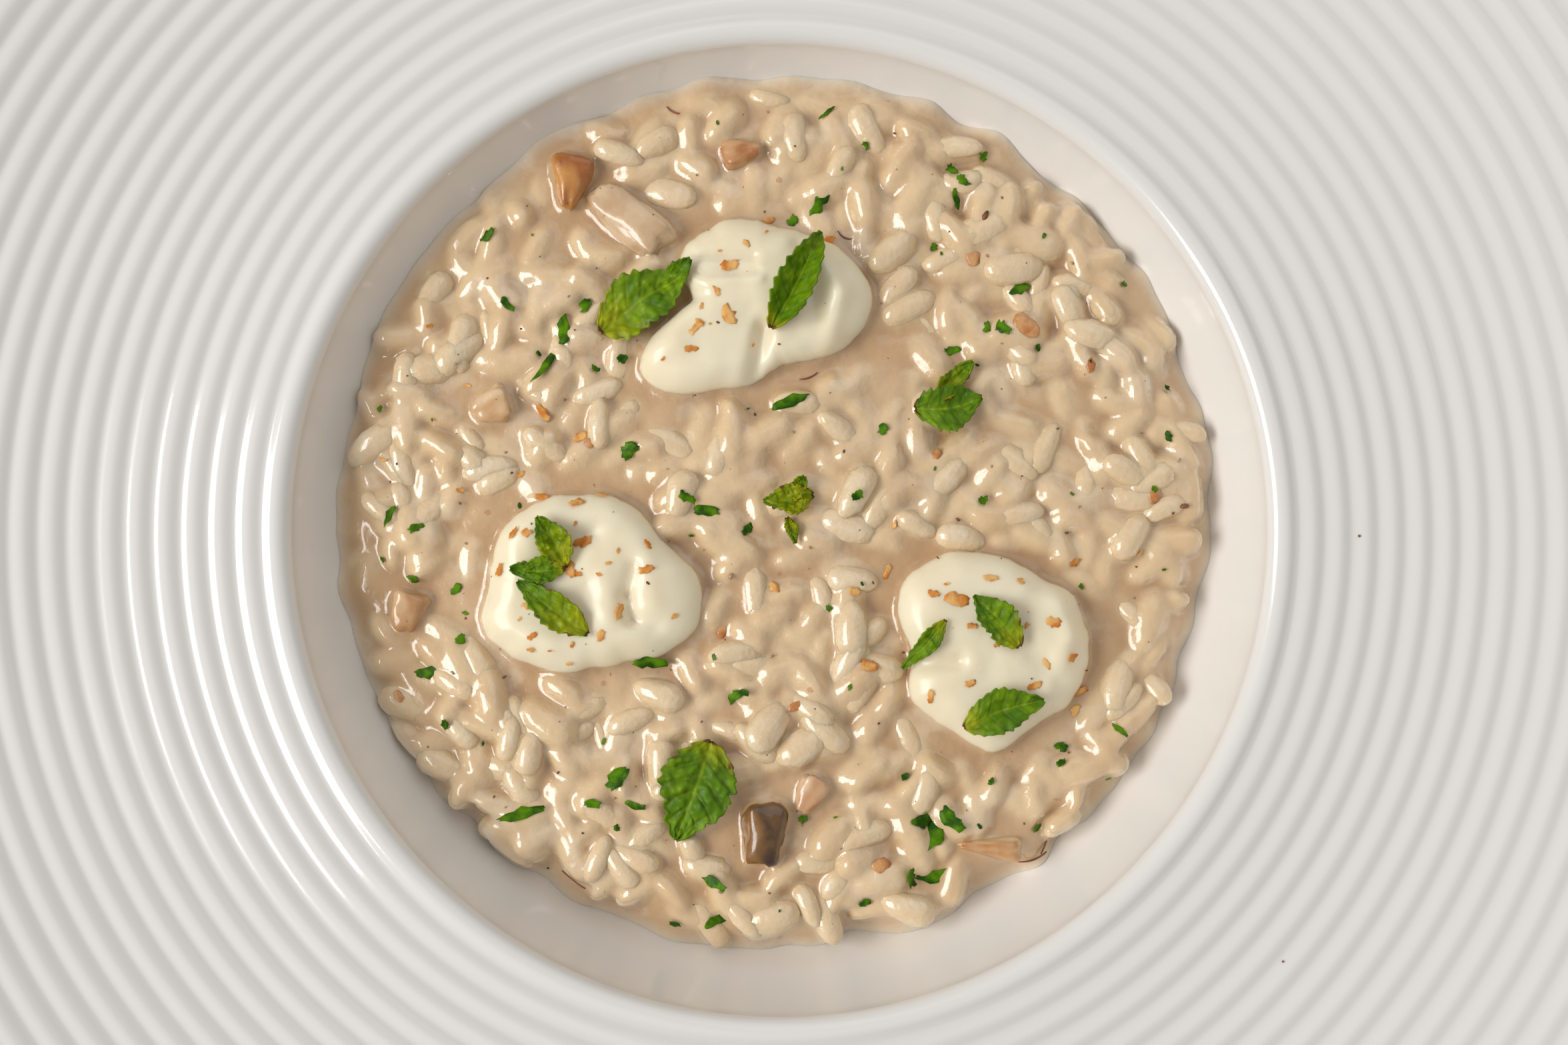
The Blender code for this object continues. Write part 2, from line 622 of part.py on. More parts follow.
def main():
    clear_scene()
    porcelain = material("porcelain glaze", (0.78, 0.76, 0.73), 0.12, coat=0.5)
    rice = material("risotto", (0.62, 0.44, 0.28), 0.35)
    cream = material("cream", (0.88, 0.86, 0.70), 0.35)
    mint = material("mint leaf", (0.13, 0.30, 0.03), 0.40)
    mushroom = material("mushroom", (0.34, 0.17, 0.07), 0.35)
    make_plate(porcelain)
    risotto = make_core(rice)
    core_tree = tree_of(risotto)
    grounds = [core_tree]
    for name in CREAM:
        dollop = make_cream(name, [core_tree], cream)
        bare = tree_of(dollop)
        grounds.append(bare)
        fuse(dollop, flakes_on(name, bare))
    for name in MUSHROOM:
        make_mushroom(name, [core_tree], mushroom)
    for name in MINT:
        make_leaf(name, grounds, mint)
    fuse(risotto, risotto_bits(core_tree))


main()
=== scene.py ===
# Risotto in a wide ribbed porcelain plate, with cream, mint, mushrooms and herbs
import math
import random

import bmesh
import bpy
import numpy as np
from mathutils import Matrix, Vector, noise
from mathutils.bvhtree import BVHTree


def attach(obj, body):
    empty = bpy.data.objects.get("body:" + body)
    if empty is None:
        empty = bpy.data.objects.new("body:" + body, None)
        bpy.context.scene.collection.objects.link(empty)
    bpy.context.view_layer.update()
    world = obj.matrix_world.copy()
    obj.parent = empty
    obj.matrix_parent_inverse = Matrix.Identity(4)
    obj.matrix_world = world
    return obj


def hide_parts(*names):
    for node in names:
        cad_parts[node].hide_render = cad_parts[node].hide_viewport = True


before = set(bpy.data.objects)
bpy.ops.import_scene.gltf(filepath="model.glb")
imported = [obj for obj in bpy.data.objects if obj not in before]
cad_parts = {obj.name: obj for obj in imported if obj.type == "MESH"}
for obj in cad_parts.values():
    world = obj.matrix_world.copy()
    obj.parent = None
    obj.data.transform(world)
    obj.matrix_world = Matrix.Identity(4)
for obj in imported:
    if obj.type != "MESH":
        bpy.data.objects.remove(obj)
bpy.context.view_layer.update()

mm = 0.001
fullTurn = 2 * math.pi
goldenTurn = math.pi * (3 - math.sqrt(5))
down = Vector((0, 0, -1))
rayTop = 0.1    # rays that look for a surface start here, in m

# Camera, light and floor
shot = {
    "lens": 43.33,                       # on a 36 mm wide sensor
    "place": (-4.67, -22.18, 331.14),    # in mm
    "tiltX": 4.21, "tiltY": -0.97,       # degrees off straight down
    "floor": 6.0,                        # half the width of the floor, in m
}
lighting = {
    "keyPlace": (-0.92, -0.16, 0.77), "keySize": (0.80, 0.55), "keyPower": 10.8,
    "fillPlace": (0.40, 0.80, 0.90), "fillSize": (1.2, 1.2), "fillPower": 2.6,
    "sky": (0.96, 0.97, 1.0), "skyStrength": 0.42,
}


def paint(red, green, blue):
    # a colour as seen on screen, made linear
    shares = (value / 255 for value in (red, green, blue))
    return tuple(((c + 0.055) / 1.055) ** 2.4 if c > 0.0393 else c / 12.92 for c in shares)


def aim(obj, target):
    obj.rotation_euler = (Vector(target) - obj.location).to_track_quat("-Z", "Y").to_euler()


def addLight(name, place, size, power):
    lamp = bpy.data.lights.new(name, "AREA")
    lamp.shape = "RECTANGLE"
    lamp.size, lamp.size_y = size
    lamp.energy = power
    obj = bpy.data.objects.new(name, lamp)
    obj.location = place
    aim(obj, (0, 0, 0.03))
    bpy.context.scene.collection.objects.link(obj)


def setStage():
    scene = bpy.context.scene
    scene.view_settings.view_transform = "Standard"
    camera = bpy.data.cameras.new("camera")
    camera.lens = shot["lens"]
    camera.sensor_width = 36
    camera.sensor_fit = "HORIZONTAL"
    camera.clip_start = 0.01
    holder = bpy.data.objects.new("camera", camera)
    holder.location = Vector(shot["place"]) * mm
    turned = Matrix.Rotation(math.radians(shot["tiltX"]), 3, "X")
    turned = turned @ Matrix.Rotation(math.radians(shot["tiltY"]), 3, "Y")
    holder.rotation_euler = turned.to_euler()
    scene.collection.objects.link(holder)
    scene.camera = holder
    addLight("window", lighting["keyPlace"], lighting["keySize"], lighting["keyPower"])
    addLight("ceiling", lighting["fillPlace"], lighting["fillSize"], lighting["fillPower"])
    world = bpy.data.worlds.new("room")
    world.use_nodes = True
    sky = world.node_tree.nodes["Background"]
    sky.inputs["Color"].default_value = (*lighting["sky"], 1)
    sky.inputs["Strength"].default_value = lighting["skyStrength"]
    scene.world = world
    bm = bmesh.new()
    bmesh.ops.create_grid(bm, x_segments=1, y_segments=1, size=shot["floor"])
    mesh = bpy.data.meshes.new("floor")
    bm.to_mesh(mesh)
    bm.free()
    mesh.materials.append(makeFloorMaterial())
    floor = bpy.data.objects.new("floor", mesh)
    scene.collection.objects.link(floor)


# Shader helpers and the groups that several finishes share
def newMaterial(name, roughness, sockets=None):
    material = bpy.data.materials.new(name)
    material.use_nodes = True
    shader = material.node_tree.nodes["Principled BSDF"]
    shader.inputs["Roughness"].default_value = roughness
    for socket, value in (sockets or {}).items():
        shader.inputs[socket].default_value = value
    spot = addNode(material.node_tree, "ShaderNodeTexCoord").outputs["Object"]
    return material, material.node_tree, spot


def addNode(tree, kind, inputs=None, **settings):
    node = tree.nodes.new(kind)
    for key, value in settings.items():
        setattr(node, key, value)
    for key, value in (inputs or {}).items():
        if hasattr(value, "node"):
            tree.links.new(value, node.inputs[key])
        else:
            node.inputs[key].default_value = value
    return node


def mixColour(tree, factor, first, second):
    first, second = ((*tint, 1) if isinstance(tint, tuple) else tint for tint in (first, second))
    return addNode(tree, "ShaderNodeMix", {0: factor, 6: first, 7: second}, data_type="RGBA").outputs[2]


def combine(tree, operation, first, second):
    return addNode(tree, "ShaderNodeMath", {0: first, 1: second}, operation=operation).outputs[0]


def attribute(tree, name):
    return addNode(tree, "ShaderNodeAttribute", attribute_name=name, attribute_type="GEOMETRY").outputs["Fac"]


def newGroup(name, inputs, outputs):
    group = bpy.data.node_groups.new(name, "ShaderNodeTree")
    for label, kind, value in inputs:
        socket = group.interface.new_socket(label, in_out="INPUT", socket_type=kind)
        if value is not None:
            socket.default_value = value
    for label, kind in outputs:
        group.interface.new_socket(label, in_out="OUTPUT", socket_type=kind)
    return group, group.nodes.new("NodeGroupInput").outputs, group.nodes.new("NodeGroupOutput").inputs


def useGroup(tree, group, **inputs):
    return addNode(tree, "ShaderNodeGroup", inputs, node_tree=group).outputs[0]


def makePatches():
    # soft uneven patches, 0 to 1
    group, given, out = newGroup("patches", (
        ("Place", "NodeSocketVector", None), ("Scale", "NodeSocketFloat", 50.0),
        ("Low", "NodeSocketFloat", 0.4), ("High", "NodeSocketFloat", 0.6)), (("Mask", "NodeSocketFloat"),))
    cloud = addNode(group, "ShaderNodeTexNoise", {
        "Vector": given["Place"], "Scale": given["Scale"], "Detail": 4.0})
    ramp = addNode(group, "ShaderNodeMapRange", {
        "Value": cloud.outputs["Fac"], "From Min": given["Low"], "From Max": given["High"]},
        interpolation_type="SMOOTHSTEP")
    group.links.new(ramp.outputs["Result"], out["Mask"])
    return group


def makeSpecks():
    # scattered dots: the size of a dot and the share of cells that hold one
    group, given, out = newGroup("specks", (
        ("Place", "NodeSocketVector", None), ("Scale", "NodeSocketFloat", 400.0),
        ("Size", "NodeSocketFloat", 0.15), ("Share", "NodeSocketFloat", 0.2)), (("Mask", "NodeSocketFloat"),))
    warp = addNode(group, "ShaderNodeTexNoise", {"Vector": given["Place"], "Scale": 2200.0})
    wobble = addNode(group, "ShaderNodeVectorMath", {0: warp.outputs["Color"], 3: 0.0007}, operation="SCALE")
    moved = addNode(group, "ShaderNodeVectorMath", {0: given["Place"], 1: wobble.outputs[0]})
    cells = addNode(group, "ShaderNodeTexVoronoi", {"Vector": moved.outputs[0], "Scale": given["Scale"]})
    dot = combine(group, "LESS_THAN", cells.outputs["Distance"], given["Size"])
    chance = addNode(group, "ShaderNodeSeparateColor", {"Color": cells.outputs["Color"]})
    kept = combine(group, "LESS_THAN", chance.outputs[0], given["Share"])
    group.links.new(combine(group, "MULTIPLY", dot, kept), out["Mask"])
    return group


def makeRipple():
    # fine unevenness of a wet or glazed skin, as a normal
    group, given, out = newGroup("ripple", (
        ("Place", "NodeSocketVector", None), ("Scale", "NodeSocketFloat", 500.0),
        ("Depth", "NodeSocketFloat", 0.00005), ("Strength", "NodeSocketFloat", 0.5)),
        (("Normal", "NodeSocketVector"),))
    cloud = addNode(group, "ShaderNodeTexNoise", {
        "Vector": given["Place"], "Scale": given["Scale"], "Detail": 3.0})
    bump = addNode(group, "ShaderNodeBump", {
        "Height": cloud.outputs["Fac"], "Distance": given["Depth"], "Strength": given["Strength"]})
    group.links.new(bump.outputs["Normal"], out["Normal"])
    return group


patches, specks, ripple = makePatches(), makeSpecks(), makeRipple()


def blotch(spot, scale, low, high):
    return useGroup(spot.id_data, patches, Place=spot, Scale=scale, Low=low, High=high)


def dots(spot, scale, size, share):
    return useGroup(spot.id_data, specks, Place=spot, Scale=scale, Size=size, Share=share)


def wrinkles(spot, scale, depth, strength):
    return useGroup(spot.id_data, ripple, Place=spot, Scale=scale, Depth=depth, Strength=strength)


def feed(material, colour=None, roughness=None, normal=None):
    tree = material.node_tree
    shader = tree.nodes["Principled BSDF"]
    for socket, value in (("Base Color", colour), ("Roughness", roughness), ("Normal", normal)):
        if value is not None:
            tree.links.new(value, shader.inputs[socket])
    return material


def makeFloorMaterial():
    material, tree, spot = newMaterial("floor", 0.7)
    cloud = blotch(spot, 6.0, 0.3, 0.7)
    return feed(material, mixColour(tree, cloud, paint(226, 224, 220), paint(220, 218, 214)))


def spread(tree, mask, low, high):
    # a mask turned into a range of values
    node = addNode(tree, "ShaderNodeMapRange", {"Value": mask, "To Min": low, "To Max": high})
    return node.outputs["Result"]


def uneven(spot, scale, low, high):
    # a value that wanders between two others over the surface
    return spread(spot.id_data, blotch(spot, scale, 0.3, 0.7), low, high)


def layer(colour, mask, share, tint):
    # a tint laid over a colour where the mask is, up to the share
    return mixColour(mask.id_data, spread(mask.id_data, mask, 0.0, share), colour, tint)


# Helpers for meshes
def toPiece(bm, name, material, slot, *nodes):
    mesh = bpy.data.meshes.new(name)
    bm.to_mesh(mesh)
    bm.free()
    mesh.materials.append(material)
    mesh.shade_smooth()
    piece = bpy.data.objects.new(name, mesh)
    bpy.context.scene.collection.objects.link(piece)
    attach(piece, "root")
    if nodes:
        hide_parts(*nodes)
    return piece


def spunSolid(section, sides, join):
    # a half section as (radius, level) turned about the upright axis, with its doubles joined
    bm = bmesh.new()
    points = [bm.verts.new((radius, 0, level)) for radius, level in section]
    edges = [bm.edges.new(pair) for pair in zip(points, points[1:])]
    bmesh.ops.spin(bm, geom=points + edges, cent=(0, 0, 0), axis=(0, 0, 1), angle=fullTurn,
                   steps=sides, use_merge=True)
    bmesh.ops.remove_doubles(bm, verts=bm.verts, dist=join)
    bmesh.ops.recalc_face_normals(bm, faces=bm.faces)
    return bm


def pointsOf(mesh):
    points = np.empty(3 * len(mesh.vertices))
    mesh.vertices.foreach_get("co", points)
    return points.reshape(-1, 3)


def setPoints(mesh, points):
    mesh.vertices.foreach_set("co", points.ravel())
    mesh.update()


def setAttribute(mesh, name, values):
    column = mesh.attributes.new(name, "FLOAT", "POINT").data
    column.foreach_set("value", np.asarray(values, dtype=np.float32))


def treeOf(piece):
    return BVHTree.FromObject(piece, bpy.context.evaluated_depsgraph_get())


def levelAt(trees, x, y):
    hits = [tree.ray_cast(Vector((x, y, rayTop)), down)[0] for tree in trees]
    return max([hit.z for hit in hits if hit is not None], default=0.0)


def restLevel(trees, x, y, reach):
    # the highest surface at a spot and around it
    turns = [k * fullTurn / 8 for k in range(8)]
    around = [(x + reach * math.cos(turn), y + reach * math.sin(turn)) for turn in turns]
    return max(levelAt(trees, *spot) for spot in around + [(x, y)])


def hump(away, reach):
    # 1 at no distance, falling smoothly to 0
    return math.exp(-(away / reach) ** 2)


def clamp(value):
    return min(1.0, max(0.0, value))


def noiseAt(x, y, z):
    return noise.noise(Vector((x, y, z)))


def cloudAt(x, y, size, seed=0.0):
    return noiseAt(x / size, y / size, seed)


# The plate
plate = {
    "sides": 256,
    "foot": (53.5, 57.5), "underside": 3.2, "floor": 8.0, "wallFoot": 52.0,
    "wallHandles": ((66.0, 8.0), (73.0, 17.0)), "wallTop": (77.3, 32.0),
    "lip": 2.6, "firstGroove": (82.0, 34.0), "pitch": 4.2, "grooves": 16, "ribHeight": 0.42,
    "rise": 0.0029, "radius": 152.5, "wall": 4.5,
    # the groove colour is partly glaze pooled in the grooves and partly painted shade in the grooves
    "glaze": paint(228, 224, 218), "pooledAndShaded": paint(218, 213, 207), "thin": paint(232, 228, 222),
    # a lighter, warmer colour for the well: painted light bounced from the food onto the wall
    "wellBounceGlaze": paint(240, 236, 228),
}


def wallPoint(t):
    handles = ((plate["wallFoot"], plate["floor"]), *plate["wallHandles"], plate["wallTop"])
    weights = ((1 - t) ** 3, 3 * t * (1 - t) ** 2, 3 * t * t * (1 - t), t ** 3)
    return [sum(w * h[axis] for w, h in zip(weights, handles)) for axis in (0, 1)]


def rimLevel(radius):
    return plate["firstGroove"][1] + plate["rise"] * (radius - plate["firstGroove"][0]) ** 2


def arc(middle, radius, start, end, steps):
    turns = [math.radians(start + (end - start) * k / steps) for k in range(steps + 1)]
    return [(middle[0] + radius * math.cos(t), middle[1] + radius * math.sin(t)) for t in turns]


def plateSection():
    # from the middle of the underside, round the edge, back to the middle of the well
    inner, outer = plate["foot"]
    under = [(0, plate["underside"]), (inner - 2.2, plate["underside"])]
    under += arc((inner - 1.6, plate["underside"] - 1.4), 1.2, 60, -10, 4)
    under += arc((inner + 0.7, 0.7), 0.7, 190, 270, 4) + arc((outer - 0.7, 0.7), 0.7, 270, 350, 4)
    shell = [(outer + 0.5, 3.0), (60.5, 4.6), (64, 6.0), (67, 8.0), (70, 10.5), (73, 13.4), (75.5, 16.5)]
    shell += [(77.4, 18.8), (79, 21), (81, 24), (83.2, 26.8), (85.4, 28.5)]
    under += shell + [(r, rimLevel(r) - plate["wall"]) for r in (88.5, *range(92, 149, 4))]
    edge = rimLevel(plate["radius"])
    under += [(150.4, edge - 4.1)] + arc((plate["radius"] - 1.9, edge - 1.9), 1.9, -40, 95, 9)
    under += [(148.4, rimLevel(148.4) + 0.55), (146.6, rimLevel(146.6) + 0.4)]
    ribs = []
    for groove in reversed(range(plate["grooves"])):
        start = plate["firstGroove"][0] + groove * plate["pitch"]
        if groove < plate["grooves"] - 1:
            for step in range(11, 0, -1):
                radius = start + step / 12 * plate["pitch"]
                height = plate["ribHeight"] * math.sin(math.pi * step / 12) ** 1.5
                ribs.append((radius, rimLevel(radius) + height))
        ribs.append((start, rimLevel(start)))
    lip = arc((plate["wallTop"][0] + plate["lip"], plate["wallTop"][1]), plate["lip"], 60, 172, 12)
    wall = [tuple(wallPoint(1 - k / 30)) for k in range(31)]
    floor = [(r, plate["floor"]) for r in (40, 20, 0)]
    return under + ribs + lip + wall + floor


def makeGlaze():
    material, tree, spot = newMaterial("porcelainGlaze", 0.16, {
        "Coat Weight": 0.4, "Coat Roughness": 0.05, "IOR": 1.5})
    parts = addNode(tree, "ShaderNodeSeparateXYZ", {0: spot})
    radius = combine(tree, "SQRT", combine(tree, "ADD", combine(tree, "POWER", parts.outputs[0], 2.0),
                                       combine(tree, "POWER", parts.outputs[1], 2.0)), 0.0)
    # darker in the grooves and lighter on the crests: partly glaze pooled in the grooves, partly painted
    # groove shade
    start, pitch = plate["firstGroove"][0] * mm, plate["pitch"] * mm
    phase = combine(tree, "PINGPONG", combine(tree, "SUBTRACT", radius, start), pitch / 2)
    crest = addNode(tree, "ShaderNodeMapRange", {"Value": phase, "From Max": pitch / 2}).outputs["Result"]
    colour = mixColour(tree, crest, plate["pooledAndShaded"], plate["thin"])
    # inside the well the glaze turns lighter and warmer: painted bounce light from the food
    well = addNode(tree, "ShaderNodeMapRange", {"Value": radius, "From Min": 0.080, "From Max": 0.076})
    colour = mixColour(tree, well.outputs["Result"], colour, plate["wellBounceGlaze"])
    broad = blotch(spot, 14.0, 0.35, 0.65)
    colour = mixColour(tree, spread(tree, broad, 0.1, 0.35), colour, plate["glaze"])
    pin = dots(spot, 55.0, 0.018, 0.12)
    colour = layer(colour, pin, 0.35, paint(150, 140, 125))
    rough = uneven(spot, 60.0, 0.12, 0.20)
    return feed(material, colour, rough, wrinkles(spot, 70.0, 0.0001, 0.25))


def makePlate():
    section = [(radius * mm, level * mm) for radius, level in plateSection()]
    bm = spunSolid(section, plate["sides"], 0.002 * mm)
    return toPiece(bm, "plate", makeGlaze(), "porcelain", "bowl")


setStage()
platePiece = makePlate()
print("plate and stage made")

# Toppings: where they lie, in mm
cream = {
    "thickness": 5.6, "sides": 96,
    "white": paint(242, 230, 200), "warm": paint(236, 219, 182),
    "dollops": {
        "cream_back": {
            "middle": (-4.6, 36.0),
            "radii": (19.4, 17.4, 14.2, 13.7, 15.0, 13.7, 10.7, 21.5, 16.5, 12.9, 10.9, 16.0),
            "valleys": (((1.8, -4.6), (0.3, -12.5), 2.0, 1.5), ((8.0, 9.0), (10.2, -2.0), 1.0, 1.6),
                        ((-10.5, 7.2), (0.0, 7.0), 0.7, 0.9), ((-9.0, 4.3), (0.5, 4.8), 0.6, 0.9)),
            "ridges": (((10.7, 7.2), (14.2, 1.0), 0.9, 1.5), ((14.2, 1.0), (12.1, -8.7), 0.9, 1.6),
                       ((-18.7, -8.5), (-12.8, -6.9), 0.8, 2.2), ((-9.0, 2.8), (1.2, 3.4), 0.5, 0.9)),
        },
        "cream_left": {
            "middle": (-31.1, -9.1),
            "radii": (17.7, 13.7, 14.2, 14.5, 15.3, 16.1, 15.9, 18.9, 16.2, 14.3, 15.1, 18.4),
            "valleys": (((7.4, 2.2), (6.4, -2.6), 0.9, 1.1), ((6.4, -2.6), (7.4, -6.6), 1.0, 1.1),
                        ((7.4, -6.6), (11.0, -7.6), 0.8, 1.1), ((-5.5, 5.0), (0.5, 7.0), 1.1, 2.4)),
            "ridges": (((-12.8, 7.4), (-6.5, 11.2), 0.6, 2.0), ((9.6, 3.0), (10.6, -3.6), 0.6, 1.6),
                       ((3.0, 1.0), (3.6, -7.0), 0.5, 1.6), ((-16.0, -6.0), (-6.0, -11.0), 0.4, 2.0)),
        },
        "cream_right": {
            "middle": (34.2, -20.6),
            "radii": (15.8, 16.1, 14.2, 15.4, 18.0, 17.7, 13.3, 15.2, 14.3, 15.9, 14.0, 15.8),
            "valleys": (((-14.0, -2.4), (-6.0, -1.6), 1.5, 1.4), ((3.0, 4.0), (10.0, -4.5), 0.8, 2.0)),
            "ridges": (((10.5, 8.2), (12.4, 2.9), 0.7, 1.8), ((12.4, 2.9), (8.0, -8.0), 0.6, 1.8)),
        },
    },
}
mint = {
    # base, tip, width, tip curl, fold, twist, yellow share at the base, quilting
    "mint_back_left": ((-29.2, 31.2), (-15.4, 40.4), 9.6, 1.6, 0.22, 0.12, 0.38, 1.0),
    "mint_back": ((-1.6, 31.2), (6.5, 47.6), 6.8, 0.9, 0.80, 0.05, 0.12, 0.8),
    "mint_back_right": ((21.8, 18.7), (32.6, 20.6), 7.6, 0.7, 0.30, -0.30, 0.05, 0.9),
    "mint_middle": ((5.2, 4.8), (-2.8, 3.7), 4.8, 0.6, 0.45, 0.40, 0.95, 1.4),
    "mint_left_upper": ((-34.4, -7.2), (-39.0, 0.8), 5.4, 1.0, 0.50, -0.30, 0.65, 1.3),
    "mint_left_lower": ((-30.8, -17.8), (-42.0, -9.4), 5.6, 0.5, 0.35, 0.10, 0.60, 1.1),
    "mint_right_upper": ((38.0, -19.9), (30.8, -11.8), 5.8, 0.4, 0.30, 0.05, 0.35, 0.8),
    "mint_right_narrow": ((26.2, -15.6), (19.5, -23.3), 2.9, 0.3, 0.50, 0.45, 0.25, 0.7),
    "mint_right_lower": ((29.2, -32.8), (41.8, -28.5), 7.0, 0.8, 0.30, 0.15, 0.25, 0.9),
    "mint_front": ((-11.2, -35.0), (-17.0, -50.8), 12.0, 0.3, 0.04, 0.05, 0.20, 1.9),
}
sprigs = {
    # second tips and torn pieces of the same leaves
    "backLeftTip": ((-20.4, 36.4), (-14.6, 42.4), 4.6, 0.9, 0.50, 0.3, 0.0, 1.0),
    "backRightFlap": ((25.4, 20.0), (31.2, 26.4), 3.6, 1.2, 0.45, 0.4, 0.7, 0.8),
    "middleTop": ((1.6, 3.8), (3.8, 7.7), 2.8, 0.6, 0.40, 0.2, 0.9, 1.2),
    "middleScrap": ((1.0, 1.0), (2.3, -3.1), 2.0, 0.2, 0.30, 0.1, 1.0, 1.2),
    "leftTip": ((-34.6, -7.4), (-43.2, -7.4), 4.0, 0.5, 0.45, -0.2, 0.15, 1.0),
}
mushrooms = {
    # middle, heading, length, width, height, flesh, skin, share of sauce on it, taper
    "mushroom_back_cap": ((-34.3, 56.2), 82.0, 8.4, 5.2, 3.2, (200, 138, 66), (158, 90, 28), 0.4, 0.55),
    "mushroom_back_small": ((-6.4, 61.4), 8.0, 6.4, 4.2, 2.6, (206, 158, 108), (168, 104, 50), 0.7, -0.45),
    "mushroom_back_slice": (
        (-24.8, 50.4), -38.0, 15.0, 6.5, 3.4, (226, 198, 160), (200, 164, 124), 1.0, 0.12),
    "mushroom_front_dark": ((-2.8, -50.0), 84.0, 9.8, 6.2, 3.6, (132, 90, 36), (50, 27, 2), 0.2, 0.12),
    "mushroom_front_pale": ((4.6, -43.8), 60.0, 6.0, 4.0, 2.2, (216, 180, 142), (200, 150, 104), 0.8, 0.4),
    "mushroom_left_block": ((-47.2, 19.2), 20.0, 6.0, 5.0, 3.0, (224, 192, 150), (206, 160, 108), 1.0, 0.3),
    "mushroom_left_edge": ((-60.4, -14.2), 75.0, 6.5, 5.0, 2.8, (210, 170, 124), (184, 132, 80), 1.0, 0.35),
    "mushroom_front_wedge": ((33.9, -52.4), -5.0, 10.0, 2.6, 2.0, (218, 178, 128), (190, 132, 74), 0.8, 0.6),
}


def outlineRadius(radii, turn):
    where = (turn % fullTurn) / fullTurn * len(radii)
    first = int(where)
    t = where - first
    a, b, c, d = (radii[(first + k) % len(radii)] for k in (-1, 0, 1, 2))
    return b + 0.5 * t * (c - a + t * (2 * a - 5 * b + 4 * c - d + t * (3 * (b - c) + d - a)))


def stripAway(x, y, start, end):
    # distance in plan from a spot to the line between two others
    ax, ay = end[0] - start[0], end[1] - start[1]
    share = ((x - start[0]) * ax + (y - start[1]) * ay) / (ax * ax + ay * ay)
    share = clamp(share)
    return math.hypot(x - start[0] - share * ax, y - start[1] - share * ay)


def mushroomEnds(middle, heading, length, width):
    reach = 0.5 * (length - width)
    dx, dy = reach * math.cos(math.radians(heading)), reach * math.sin(math.radians(heading))
    return (middle[0] - dx, middle[1] - dy), (middle[0] + dx, middle[1] + dy)


chunkStrips = [(*mushroomEnds(*chunk[:4]), 0.5 * chunk[3]) for chunk in mushrooms.values()]
leafStrips = [(leaf[0], leaf[1], 0.5 * leaf[2]) for leaf in mint.values()]


def nearTopping(x, y, margin, leaves=True):
    # whether a spot lies on a topping or closer to one than the margin, in mm
    for dollop in cream["dollops"].values():
        dx, dy = x - dollop["middle"][0], y - dollop["middle"][1]
        away = math.hypot(dx, dy)
        if away < 23 + margin and away - outlineRadius(dollop["radii"], math.atan2(dy, dx)) < margin:
            return True
    strips = chunkStrips + leafStrips if leaves else chunkStrips
    return any(stripAway(x, y, start, end) - half < margin for start, end, half in strips)


# The heap of risotto, in mm
heap = {
    "edge": (19.8, 4.5, -1.1), "edgeLumps": 0.9, "edgeRagged": 2.4, "rounding": 7.0,
    "top": 22.5, "toBack": 2.0, "dome": 2.0, "radius": 72.0, "relief": 0.6,
    "scatterMiddle": 3.0, "scatterRadius": 67.0, "fillMiddle": 0.0, "fillRadius": 73.0,
    "bigPlaces": 160, "grainPlaces": 700, "grain": (9.3, 4.9), "bareShare": 0.20,
    "cells": 300, "softening": 3, "hollowDepth": 1.4, "fringe": 2.6, "bareHeight": 1.3,
    "pools": ((-24, 50, 6), (0, -6, 6), (7, 31, 6), (47, 20, 6), (1, -49, 6), (-52, 4, 6), (17, 25, 6),
              (-66, -10, 4), (-18, 16, 5), (57, -12, 5), (24, 38, 5), (-38, 62, 5), (22, -58, 5),
              (-38, 46, 5)),
    "clumps": ((35, 50, 7), (42, 36, 7), (-2, -35, 7), (58, -27, 6), (52, 43, 6), (-42, -35, 7), (17, -23, 6),
               (-8, -19, 6), (-13, 18, 6), (54, 30, 5), (8, -54, 6), (-60, 20, 6), (1, 69, 5)),
    "sauce": paint(202, 165, 122), "sauceDeepAndShade": paint(178, 137, 95), "saucePale": paint(215, 184, 144),
    "coated": paint(225, 196, 154), "rice": paint(240, 223, 192), "riceCore": paint(248, 236, 214),
    "riceClear": paint(228, 205, 166), "milky": paint(228, 207, 176), "thinEdge": paint(234, 219, 197),
}


def edgeLevel(turn):
    lumps = heap["edgeLumps"] * noiseAt(3 * math.cos(turn), 3 * math.sin(turn), 4.0)
    lumps += heap["edgeRagged"] * noiseAt(9 * math.cos(turn), 9 * math.sin(turn), 8.0)
    mean, toBack, toRight = heap["edge"]
    return mean + toBack * math.sin(turn) + toRight * math.cos(turn) + lumps


def topLevel(x, y):
    radius = math.hypot(x, y)
    level = heap["top"] + heap["toBack"] * y / heap["radius"]
    level += heap["dome"] * (1 - (radius / heap["radius"]) ** 2)
    if not nearTopping(x, y, 6):
        level += heap["relief"] * cloudAt(x, y, 11)
    return level


wallSteps = [wallPoint(k / 200) for k in range(201)]


def edgeRadius(turn):
    # where the heap meets the wall of the well
    level = edgeLevel(turn)
    return float(np.interp(level, [p[1] for p in wallSteps], [p[0] for p in wallSteps]))


def spiralPlaces(count, rng, firstTurn, fill=False):
    middle = heap["fillMiddle" if fill else "scatterMiddle"]
    reach = heap["fillRadius" if fill else "scatterRadius"]
    for index in range(count):
        radius = reach * math.sqrt((index + 0.5) / count)
        turn = firstTurn + index * goldenTurn
        x = radius * math.cos(turn) + rng.uniform(-1.5, 1.5)
        yield x, middle + radius * math.sin(turn) + rng.uniform(-1.5, 1.5)


def nearSpots(x, y, spots):
    # 1 in the middle of one of the spots, falling to 0 away from them
    return max(math.exp(-((x - sx) ** 2 + (y - sy) ** 2) / (size * size)) for sx, sy, size in spots)


